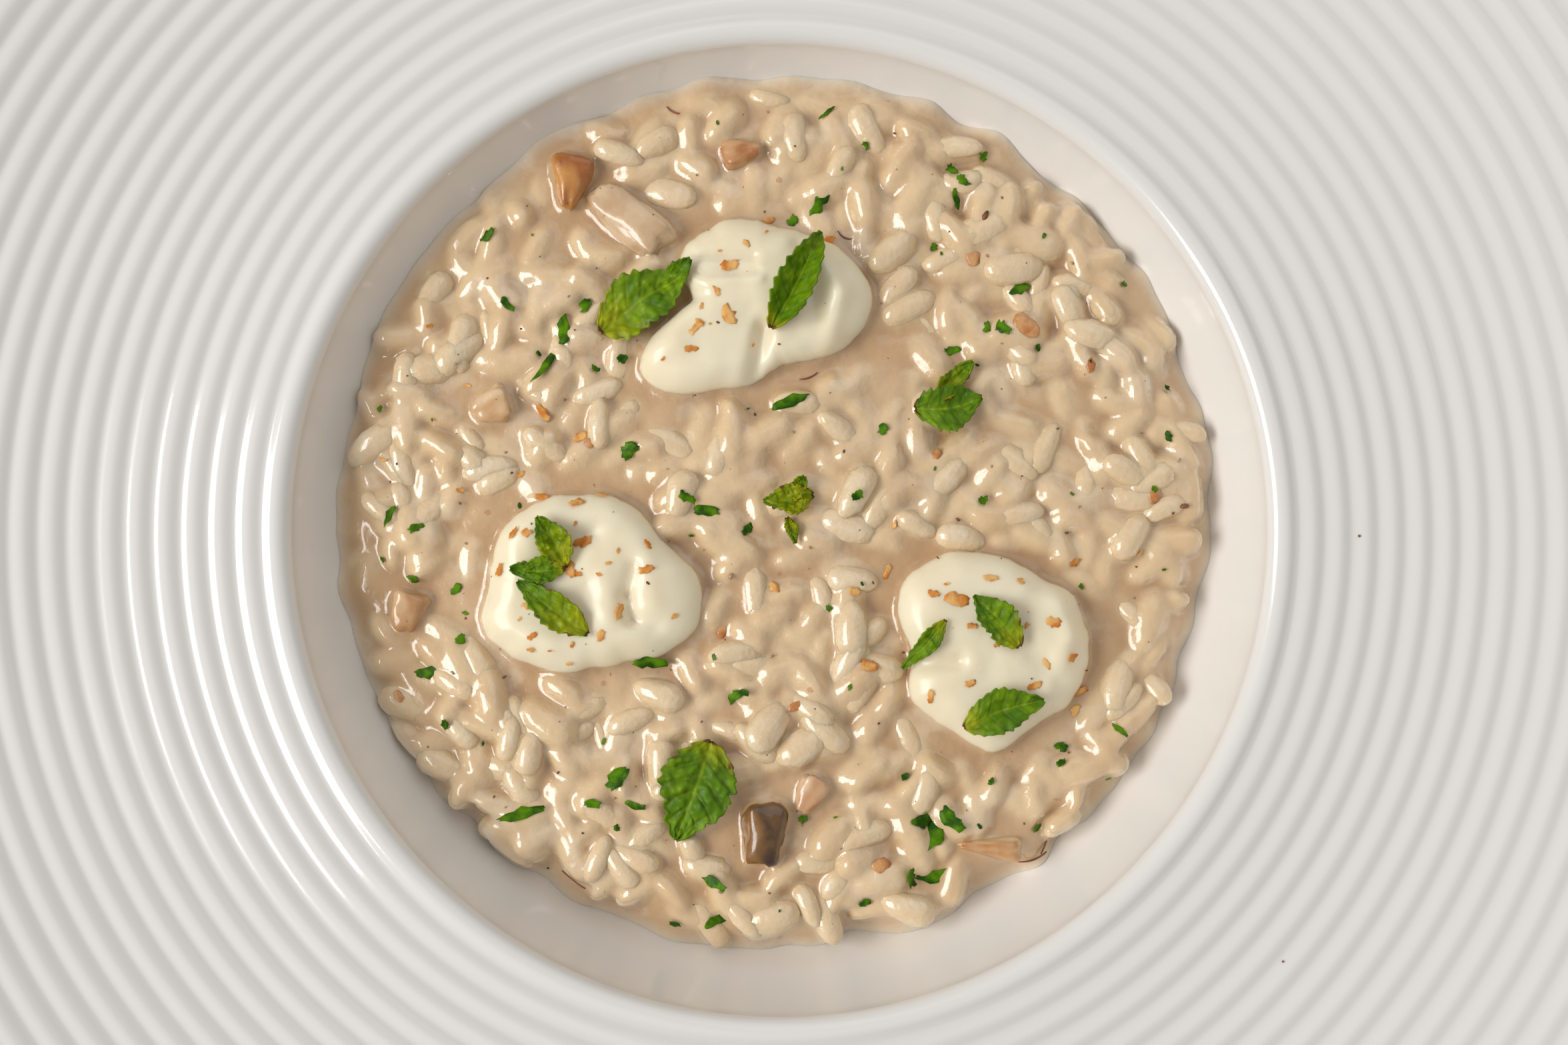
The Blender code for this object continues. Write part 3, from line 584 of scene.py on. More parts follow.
def planGrains():
    # the large grains follow the solid's own rule, the rest fill in between and below
    rng = random.Random(11)
    grains = []
    for x, y in spiralPlaces(heap["bigPlaces"], rng, 0.4):
        heading, pitch, sink = rng.uniform(0, math.pi), rng.uniform(-0.18, 0.18), rng.uniform(-0.3, 0.8)
        reach = 0.32 * heap["grain"][0]
        ends = [(x + k * reach * math.cos(heading), y + k * reach * math.sin(heading)) for k in (-1, 0, 1)]
        if any(nearTopping(ex, ey, 0.58 * heap["grain"][1] + 0.5) for ex, ey in ends):
            continue
        size, lift = rng.uniform(0.9, 1.1), 0.5 if rng.random() < 0.4 else 0.0
        sink -= 0.35 + 1.2 * nearSpots(x, y, heap["pools"])
        grains.append((x, y, topLevel(x, y) + sink, heading, pitch, size, lift))
    rng = random.Random(23)
    for x, y in spiralPlaces(heap["grainPlaces"], rng, 1.7, fill=True):
        heading, pitch = rng.uniform(0, math.pi), rng.gauss(0, 0.16)
        if rng.random() < 0.45:
            # neighbours often lie side by side
            heading = fullTurn * cloudAt(x, y, 16, 9.0)
        raised, size = rng.uniform(-1.5, 0.5), rng.uniform(0.78, 1.16)
        pool, clump = nearSpots(x, y, heap["pools"]), nearSpots(x, y, heap["clumps"])
        lift = rng.uniform(0.1, 0.6) if rng.random() < heap["bareShare"] + 0.3 * clump else 0.0
        reach = 0.3 * heap["grain"][0]
        ends = [(x + k * reach * math.cos(heading), y + k * reach * math.sin(heading)) for k in (-1, 0, 1)]
        if pool > 0.55 or any(nearTopping(ex, ey, 1.6, leaves=False) for ex, ey in ends):
            continue
        gap = min(edgeRadius(math.atan2(ey, ex)) - math.hypot(ex, ey) for ex, ey in ends)
        if gap < 1.4:
            continue
        level = topLevel(x, y) + raised - 1.3 * pool + 0.9 * clump + 1.1 * cloudAt(x, y, 13, 2.0)
        level -= 2.0 * max(0.0, 1 - gap / heap["rounding"]) ** 2
        grains.append((x, y, level, heading, pitch, size, lift))
    return grains


def makeRiceMaterial():
    material, tree, spot = newMaterial("cookedRice", 0.3, {
        "Subsurface Weight": 0.25, "Subsurface Radius": (1.0, 0.85, 0.7), "Subsurface Scale": 0.0012,
        "Coat Weight": 1.0, "Coat Roughness": 0.03, "IOR": 1.42})
    chalk = blotch(spot, 420.0, 0.35, 0.7)
    core = combine(tree, "MULTIPLY", attribute(tree, "core"), spread(tree, chalk, 0.4, 1.0))
    colour = mixColour(tree, core, heap["rice"], heap["riceCore"])
    clear = combine(tree, "MULTIPLY", attribute(tree, "tint"), 0.6)
    colour = mixColour(tree, clear, colour, heap["riceClear"])
    coat = spread(tree, blotch(spot, 340.0, 0.38, 0.6), 0.35, 1.0)
    colour = mixColour(tree, combine(tree, "MULTIPLY", attribute(tree, "bare"), coat), heap["coated"], colour)
    rough = uneven(spot, 900.0, 0.14, 0.28)
    return feed(material, colour, rough, wrinkles(spot, 1000.0, 0.0004, 0.5))


def copies(count, shape):
    # many copies of one small mesh in a single bmesh
    template = bpy.data.meshes.new("template")
    shape.to_mesh(template)
    shape.free()
    bm = bmesh.new()
    for _copy in range(count):
        bm.from_mesh(template)
    each = len(template.vertices)
    bpy.data.meshes.remove(template)
    verts = list(bm.verts)
    return bm, [verts[k * each:(k + 1) * each] for k in range(count)]


def makeGrains(plan):
    length, width = heap["grain"]
    shape = bmesh.new()
    bmesh.ops.create_uvsphere(shape, u_segments=8, v_segments=8, radius=1.0,
                              matrix=Matrix.Rotation(math.pi / 2, 4, "Y"))
    bm, clusters = copies(len(plan), shape)
    owners = []
    for index, (x, y, level, heading, pitch, size, _lift) in enumerate(plan):
        rng = random.Random(1000 + index)
        bend, taper, squash = rng.uniform(-0.22, 0.22), rng.uniform(-0.22, 0.22), rng.uniform(0.78, 0.92)
        plump = rng.uniform(0.84, 1.16)
        turned = Matrix.Rotation(heading, 3, "Z") @ Matrix.Rotation(pitch, 3, "Y")
        turned = turned @ Matrix.Rotation(rng.uniform(-0.6, 0.6), 3, "X")
        for vert in clusters[index]:
            u, v, w = vert.co
            u = math.copysign(abs(u) ** 0.74, u)
            girth = plump * (1 + taper * u + 0.12 * noiseAt(3 * u, index, 2 * v))
            v, w = v * girth + bend * (u * u - 0.5), w * girth
            shaped = Vector((0.5 * size * length * u, 0.5 * size * width * v, 0.5 * squash * width * w))
            vert.co = (turned @ shaped + Vector((x, y, level))) * mm
            owners.append((index, abs(u)))
    return toPiece(bm, "riceGrains", makeRiceMaterial(), "risotto", "risotto"), owners


def makeSauceMaterial():
    material, tree, spot = newMaterial("risottoSauce", 0.3, {
        "Subsurface Weight": 0.3, "Subsurface Radius": (1.0, 0.65, 0.4), "Subsurface Scale": 0.0018,
        "Coat Weight": 1.0, "Coat Roughness": 0.05, "IOR": 1.42})
    cloud = blotch(spot, 60.0, 0.35, 0.65)
    colour = mixColour(tree, cloud, heap["sauce"], heap["saucePale"])
    # darker, browner sauce in the hollows: partly deeper sauce, partly painted shade in the hollows
    colour = mixColour(tree, attribute(tree, "hollowShade"), colour, heap["sauceDeepAndShade"])
    colour = mixColour(tree, attribute(tree, "film"), colour, heap["coated"])
    fat = blotch(spot, 190.0, 0.52, 0.72)
    colour = layer(colour, fat, 0.35, heap["saucePale"])
    milky = blotch(spot, 95.0, 0.55, 0.66)
    colour = layer(colour, milky, 0.45, heap["milky"])
    herb = dots(spot, 150.0, 0.16, 0.06)
    colour = layer(colour, herb, 0.3, paint(112, 140, 92))
    brown = dots(spot, 330.0, 0.075, 0.10)
    colour = layer(colour, brown, 0.6, paint(138, 92, 58))
    tan = dots(spot, 210.0, 0.11, 0.07)
    colour = layer(colour, tan, 0.5, paint(178, 120, 76))
    colour = layer(colour, attribute(tree, "fringe"), 0.85, heap["thinEdge"])
    rough = uneven(spot, 500.0, 0.12, 0.26)
    return feed(material, colour, rough, wrinkles(spot, 420.0, 0.0006, 0.5))


def soften(field, passes):
    for _step in range(passes):
        for axis in (0, 1):
            padded = np.pad(field, [(1, 1) if a == axis else (0, 0) for a in (0, 1)], mode="edge")
            low = padded.take(range(0, field.shape[axis]), axis=axis)
            high = padded.take(range(2, field.shape[axis] + 2), axis=axis)
            field = 0.5 * field + 0.25 * (low + high)
    return field


def makeSauce(grainTree, toppingTrees):
    # a fine square grid pressed into a disc, with the sauce level and the grains under it
    cells = heap["cells"]
    bm = bmesh.new()
    bmesh.ops.create_grid(bm, x_segments=cells, y_segments=cells, size=1.0)
    verts = sorted(bm.verts, key=lambda v: (round(v.co.y, 5), v.co.x))
    side = cells + 1
    square = np.array([vert.co[:2] for vert in verts]).reshape(side, side, 2)
    u = square[..., 0] * np.sqrt(1 - square[..., 1] ** 2 / 2)
    v = square[..., 1] * np.sqrt(1 - square[..., 0] ** 2 / 2)
    turns = np.linspace(0, fullTurn, 721)
    heading = np.arctan2(v, u) % fullTurn
    edge = np.interp(heading, turns, [edgeRadius(turn) for turn in turns])
    edgeTop = np.interp(heading, turns, [edgeLevel(turn) for turn in turns])
    flat = np.stack([u * edge, v * edge], axis=-1)
    fromEdge = edge - np.hypot(flat[..., 0], flat[..., 1])
    inward = np.clip(fromEdge / heap["rounding"], 0, 1)
    share = inward ** 1.5 * (2.5 - 1.5 * inward)
    base, grain, topping = (np.zeros((side, side)) for _ in range(3))
    for row, column in np.ndindex(side, side):
        x, y = map(float, flat[row, column])
        level = topLevel(x, y) + 0.3 * cloudAt(x, y, 4.0, 3.0) + 0.14 * cloudAt(x, y, 1.7, 5.0)
        base[row, column] = edgeTop[row, column] + share[row, column] * (level - edgeTop[row, column])
        hit = grainTree.ray_cast(Vector((x * mm, y * mm, rayTop)), down)[0]
        grain[row, column] = hit.z / mm if hit else 0.0
        lying = levelAt(toppingTrees, x * mm, y * mm) / mm
        topping[row, column] = min(lying - 0.8, base[row, column] + 1.8) if lying else 0.0
    rim = np.zeros((side, side), dtype=bool)
    rim[[0, -1], :] = rim[:, [0, -1]] = True
    raw = np.maximum(base, np.maximum(grain, topping))
    coat = np.array([[cloudAt(*spot, 8.0, 6.0) for spot in line] for line in flat])
    level = soften(raw, heap["softening"]) + np.clip(0.14 + 0.45 * coat, 0.0, 0.5)
    level = np.where(rim, base, level)
    near = np.where(grain > base - 0.9, np.exp(-np.maximum(level - grain, 0) / 0.55), 0.0)
    film = soften(near, 2)
    # how far the surface sinks below its surroundings: painted shade in the hollows, with some deeper sauce
    wide = soften(level, 60)
    hollowShade = np.clip((wide - level) / heap["hollowDepth"], 0, 1) * inward ** 2
    fringe = np.clip(1 - fromEdge / heap["fringe"], 0, 1) ** 1.3
    for index, vert in enumerate(verts):
        row, column = divmod(index, side)
        vert.co = Vector((*flat[row, column], level[row, column])) * mm
    bm.verts.index_update()
    order = np.array([vert.index for vert in verts])
    closeUnder(bm)
    piece = toPiece(bm, "risottoSauce", makeSauceMaterial(), "risotto", "risotto")
    for label, field in (("film", film), ("hollowShade", hollowShade), ("fringe", fringe)):
        values = np.zeros(len(piece.data.vertices))
        values[order] = field.ravel()
        setAttribute(piece.data, label, values)
    return piece


def closeUnder(bm):
    # carry the edge down the wall of the well and across its floor
    loop = [edge for edge in bm.edges if edge.is_boundary]
    for edge in loop:
        edge.smooth = False
    for share in (0.66, 0.33, 0.0, None):
        made = bmesh.ops.extrude_edge_only(bm, edges=loop)["geom"]
        loop = [item for item in made if isinstance(item, bmesh.types.BMEdge)]
        ring = [item for item in made if isinstance(item, bmesh.types.BMVert)]
        if share is None:
            bmesh.ops.pointmerge(bm, verts=ring, merge_co=(0, 0, (plate["floor"] + 0.3) * mm))
            break
        for vert in ring:
            turn = math.atan2(vert.co.y, vert.co.x)
            low = plate["floor"] + 0.3 + share * (edgeLevel(turn) - plate["floor"])
            radius = float(np.interp(low, [p[1] for p in wallSteps], [p[0] for p in wallSteps])) - 0.25
            vert.co = Vector((radius * math.cos(turn), radius * math.sin(turn), low)) * mm
    bmesh.ops.recalc_face_normals(bm, faces=bm.faces)


def creamHeight(dollop, dx, dy, share):
    height = cream["thickness"] * (1 - 0.22 * share ** 3) + 0.45 * cloudAt(dx, dy, 7, 20 / 7)
    for start, end, depth, reach in dollop["valleys"]:
        height -= depth * hump(stripAway(dx, dy, start, end), reach)
    for start, end, depth, reach in dollop["ridges"]:
        height += depth * hump(stripAway(dx, dy, start, end), reach)
    return height + 0.20 * cloudAt(dx, dy, 3.4, 3.0) + 0.05 * cloudAt(dx, dy, 1.6, 5.0)


def makeCreamMaterial():
    material, tree, spot = newMaterial("cream", 0.32, {
        "Subsurface Weight": 0.5, "Subsurface Radius": (1.0, 0.85, 0.6), "Subsurface Scale": 0.003,
        "Coat Weight": 0.35, "Coat Roughness": 0.18, "IOR": 1.42})
    cloud = blotch(spot, 70.0, 0.3, 0.7)
    colour = mixColour(tree, spread(tree, cloud, 0.0, 0.5), cream["white"], cream["warm"])
    colour = mixColour(tree, attribute(tree, "thin"), colour, heap["saucePale"])
    rough = uneven(spot, 260.0, 0.26, 0.42)
    return feed(material, colour, rough, wrinkles(spot, 380.0, 0.0002, 0.2))


def makeCream(name, material):
    dollop = cream["dollops"][name]
    # half section as (share of the outline, share of the height): under, round the side, over
    section = [(0.0, 0.0), (0.5, 0.0), (0.94, 0.0), (0.985, 0.10)]
    quarter = np.linspace(0, math.pi / 2, 15)
    section += [(0.66 + 0.34 * math.cos(t), 0.26 + 0.74 * math.sin(t)) for t in quarter]
    section += [(0.66 * (1 - k / 18), 1.0) for k in range(1, 19)]
    bm = spunSolid(section, cream["sides"], 1e-5)
    thin = []
    for vert in bm.verts:
        share, lift = math.hypot(vert.co.x, vert.co.y), vert.co.z
        turn = math.atan2(vert.co.y, vert.co.x)
        edge = outlineRadius(dollop["radii"], turn)
        edge += 0.9 * noiseAt(2.6 * math.cos(turn), 2.6 * math.sin(turn), dollop["middle"][0])
        edge += 0.3 * noiseAt(7 * math.cos(turn), 7 * math.sin(turn), dollop["middle"][1])
        dx, dy = share * edge * math.cos(turn), share * edge * math.sin(turn)
        x, y = dollop["middle"][0] + dx, dollop["middle"][1] + dy
        ground = topLevel(x, y) + 0.1
        vert.co = Vector((x, y, ground + lift * creamHeight(dollop, dx, dy, min(1, share)))) * mm
        thin.append(0.7 * max(0.0, 0.5 - lift) if share > 0.9 else 0.0)
    piece = toPiece(bm, name + "Dollop", material, "cream", name)
    setAttribute(piece.data, "thin", thin)
    return piece


def makeMushroomMaterial(name, flesh, skin):
    material, tree, spot = newMaterial(name, 0.3, {
        "Subsurface Weight": 0.08, "Subsurface Radius": (1.0, 0.7, 0.4), "Subsurface Scale": 0.0008,
        "Coat Weight": 0.8, "Coat Roughness": 0.06})
    cloud = blotch(spot, 260.0, 0.35, 0.65)
    peel = combine(tree, "MULTIPLY", attribute(tree, "skin"), spread(tree, cloud, 0.45, 1.0))
    colour = mixColour(tree, peel, flesh, skin)
    colour = mixColour(tree, attribute(tree, "sauced"), colour, heap["sauce"])
    dark = dots(spot, 700.0, 0.2, 0.15)
    colour = layer(colour, dark, 0.3, paint(90, 55, 28))
    return feed(material, colour, None, wrinkles(spot, 800.0, 0.0003, 0.35))


def makeMushroom(name):
    middle, heading, length, width, height, flesh, skin, wetted, taper = mushrooms[name]
    rng = random.Random(name)
    bm = bmesh.new()
    bmesh.ops.create_cube(bm, size=2.0)
    bmesh.ops.subdivide_edges(bm, edges=bm.edges, cuts=7, use_grid_fill=True)
    turned = Matrix.Rotation(math.radians(heading), 3, "Z")
    lean, seed = rng.uniform(-0.2, 0.2), rng.uniform(0, 50)
    skinned, sauced = [], []
    for vert in bm.verts:
        co = vert.co.copy()
        power = (abs(co.x) ** 3.2 + abs(co.y) ** 3.2 + abs(co.z) ** 3.2) ** (1 / 3.2)
        co /= power ** 0.92
        co *= 1 + 0.22 * noise.noise(co * 1.2 + Vector((seed, 0, 0))) + 0.07 * noise.noise(co * 3.2)
        co.x += 0.12 * lean * co.y * co.y
        co.y *= (1 - 0.16 * co.z) * (1 + taper * co.x)
        x, y, _z = turned @ Vector((0.5 * length * co.x, 0.52 * width * co.y, 0)) + Vector((*middle, 0))
        ground = topLevel(x, y)
        rise = height * (0.5 + 0.5 * co.z) * (1 + lean * co.y * 0.9 + 0.12 * co.x)
        vert.co = Vector((x, y, ground + rise)) * mm
        skinned.append(clamp(1.0 - 1.3 * co.y + 2.5 * noise.noise(co * 0.9 + Vector((seed, 3, 0)))))
        film = 0.9 - rise / (0.7 * height) + 0.9 * noise.noise(co * 1.1 + Vector((seed, 9, 0)))
        sauced.append(wetted * min(0.85, max(0, film)))
    bmesh.ops.recalc_face_normals(bm, faces=bm.faces)
    plain = name.title().replace("_", "")
    material = makeMushroomMaterial("flesh" + plain, paint(*flesh), paint(*skin))
    piece = toPiece(bm, plain[0].lower() + plain[1:] + "Piece", material, "mushroom", name)
    setAttribute(piece.data, "skin", skinned)
    setAttribute(piece.data, "sauced", sauced)
    return piece


creamMaterial = makeCreamMaterial()
dollops = [makeCream(name, creamMaterial) for name in cream["dollops"]]
mushroomPieces = [makeMushroom(name) for name in mushrooms]
print("cream and mushrooms made")

plan = planGrains()
grains, owners = makeGrains(plan)
toppingTrees = [treeOf(piece) for piece in dollops + mushroomPieces]
sauce = makeSauce(treeOf(grains), toppingTrees)
print("risotto made with", len(plan), "grains")


def settleGrains():
    # bare grains rise out of the sauce, and the coated ones stay just under it
    sauceTree = treeOf(sauce)
    points = pointsOf(grains.data)
    bare, tint, core = [], [], []
    for point, (index, along) in zip(points, owners):
        lift = plan[index][6]
        point[2] += (lift if lift else -0.5) * mm
        above = (point[2] - levelAt([sauceTree], point[0], point[1])) / mm
        washed = 0.45 + 0.55 * ((index * 0.381) % 1.0)
        bare.append(washed * clamp(above / heap["bareHeight"]))
        tint.append((index * 0.618) % 1.0)
        core.append(max(0.0, 1 - 1.4 * along))
    setPoints(grains.data, points)
    for name, values in (("bare", bare), ("tint", tint), ("core", core)):
        setAttribute(grains.data, name, values)


settleGrains()
grounds = [treeOf(piece) for piece in [platePiece, sauce, grains] + dollops + mushroomPieces]
print("grains settled")

# Mint leaves
leafLook = {
    "cells": (64, 30), "thickness": 0.30, "veins": 6, "teeth": 9,
    "young": paint(124, 156, 0), "mature": paint(82, 122, 0), "dark": paint(34, 72, 0),
    "yellow": paint(166, 166, 6), "veinColour": paint(146, 168, 28), "stalk": paint(112, 76, 28),
}


def makeLeafMaterial():
    material, tree, spot = newMaterial("mintLeaf", 0.42, {
        "Subsurface Weight": 0.10, "Subsurface Radius": (0.5, 1.0, 0.1), "Subsurface Scale": 0.0008,
        "Specular IOR Level": 0.2, "Coat Weight": 0.03, "Coat Roughness": 0.3})
    cloud = blotch(spot, 170.0, 0.3, 0.7)
    colour = mixColour(tree, cloud, leafLook["mature"], leafLook["young"])
    # darker along the vein grooves: painted shade in the hollows, mixed with a random tone
    colour = layer(colour, attribute(tree, "hollow"), 0.55, leafLook["dark"])
    colour = mixColour(tree, attribute(tree, "yellow"), colour, leafLook["yellow"])
    colour = layer(colour, attribute(tree, "vein"), 0.7, leafLook["veinColour"])
    colour = mixColour(tree, attribute(tree, "stalk"), colour, leafLook["stalk"])
    rough = uneven(spot, 900.0, 0.35, 0.55)
    # quilted cells: a bump, and painted shade in the creases along the cell edges
    cells = addNode(tree, "ShaderNodeTexVoronoi", {"Vector": spot, "Scale": 760.0}, feature="SMOOTH_F1")
    groove = addNode(tree, "ShaderNodeMapRange", {
        "Value": cells.outputs["Distance"], "From Min": 0.25, "From Max": 0.75, "To Max": 0.45})
    colour = mixColour(tree, groove.outputs["Result"], colour, leafLook["dark"])
    puffed = addNode(tree, "ShaderNodeBump", {
        "Height": cells.outputs["Distance"], "Distance": 0.0008, "Strength": 0.8}, invert=True)
    return feed(material, colour, rough, puffed.outputs["Normal"])


def halfLeaf(share, width):
    # half the width of a leaf along its length, before the teeth
    inner = min(0.985, max(0.015, share))
    return 0.5 * width * math.sin(math.pi * inner ** 0.8) ** 0.75


def veinsAt(share, across, width):
    # where a spot lies between two side veins, which slant towards the tip
    slant = (share - 0.16 * abs(across) * width / 8) * leafLook["veins"]
    return slant, abs(slant - round(slant))


def makeLeaf(name, figures, material, *nodes):
    base, tip, width, curl, fold, twist, yellowShare, quilt = figures
    rng = random.Random(name)
    along = Vector(tip) - Vector(base)
    side = Vector((-along.y, along.x)).normalized()
    stations = 9
    lying = []
    for k in range(stations):
        share = k / (stations - 1)
        half = halfLeaf(share, width)
        spots = [Vector(base) + share * along + c * half * side for c in (-0.9, 0, 0.9)]
        lying.append(max(restLevel(grounds, s.x * mm, s.y * mm, 0.8 * mm) for s in spots) / mm)
    lying = soften(np.array([lying, lying]), 1)[0] + 0.1
    bm = bmesh.new()
    columns, rows = leafLook["cells"]
    bmesh.ops.create_grid(bm, x_segments=columns, y_segments=rows, size=1.0)
    seed = rng.uniform(0, 90)
    values = {"vein": [], "yellow": [], "hollow": [], "stalk": []}
    for vert in bm.verts:
        share, across = 0.5 + 0.5 * vert.co.x, vert.co.y
        half = halfLeaf(share, width) * (0.3 if share < 0.01 or share > 0.99 else 1.0)
        tooth = (share * leafLook["teeth"] + 0.3 * (across > 0)) % 1.0
        depth = 0.13 + 0.16 * noiseAt(6 * share, math.copysign(3, across), seed + 1)
        notch = 2 * depth * min(tooth, 3 * (1 - tooth)) - depth
        half *= 1 + 0.8 * notch * max(0.0, abs(across) - 0.6) / 0.4
        half *= 1 + 0.16 * noiseAt(3.5 * share, math.copysign(2, across), seed)
        slant, nearest = veinsAt(share, across, width)
        vein = hump(nearest, 0.12) * (1 - 0.45 * abs(across))
        vein = max(vein, hump(across, 0.07))
        swell = math.sin(math.pi * clamp(share))
        puff = 0.34 * quilt * (width / 10) ** 0.5 * (1 - vein) * min(1, 3 * abs(across)) * swell
        cup = fold * abs(across) * half * (0.6 + 0.4 * abs(across))
        wave = 0.26 * math.sin(9 * share + 2.5 * across + seed) * abs(across) ** 1.5
        crumple = 0.35 * noiseAt(5 * share, 2.2 * across, seed + 7) * quilt
        crumple += 0.22 * noiseAt(13 * share, 6 * across, seed + 2) * quilt * (1 - vein)
        roll = twist * across * half * (share - 0.3)
        ground = float(np.interp(share, np.linspace(0, 1, stations), lying))
        rise = curl * share ** 3 + cup + puff + max(wave + crumple + roll, -0.2 - 0.3 * cup) + 0.25
        bow = 0.12 * width * math.sin(math.pi * share) * math.sin(seed)
        spot = Vector(base) + share * along + (across * half * math.cos(min(1.0, 0.6 * fold)) + bow) * side
        vert.co = Vector((spot.x, spot.y, ground + leafLook["thickness"] + rise)) * mm
        fine = 0.8 * hump(nearest, 0.06) * (1 - 0.6 * abs(across))
        values["vein"].append(max(fine, hump(across, 0.045)))
        # painted shade along the vein hollows, with a random tone
        shade = 0.45 * math.cos(fullTurn * slant) + 0.5 * noiseAt(6 * share, 3 * across, seed)
        values["hollow"].append(clamp(0.25 + shade))
        yellow = 1.2 - share / max(0.03, yellowShare) + 0.5 * noiseAt(4 * share, 2 * across, seed + 3)
        values["yellow"].append(0.9 * clamp(yellow))
        frayed = noiseAt(9 * share, 3 * across, seed + 5) > 0.35 and abs(across) > 0.86
        values["stalk"].append(1.0 if share < 0.03 or (frayed and yellow > 0) else 0.0)
    bmesh.ops.recalc_face_normals(bm, faces=bm.faces)
    if sum(face.normal.z for face in bm.faces) < 0:
        bmesh.ops.reverse_faces(bm, faces=bm.faces)
    plain = name.title().replace("_", "") if nodes else name
    piece = toPiece(bm, plain[0].lower() + plain[1:] + "Leaf", material, "mint", *nodes)
    for key, column in values.items():
        setAttribute(piece.data, key, column)
    thick = piece.modifiers.new("thickness", "SOLIDIFY")
    thick.thickness = leafLook["thickness"] * mm
    thick.offset = -1
    return piece


leafMaterial = makeLeafMaterial()
for name, figures in mint.items():
    makeLeaf(name, figures, leafMaterial, name)
for name, figures in sprigs.items():
    makeLeaf(name, figures, leafMaterial)
print("mint made")

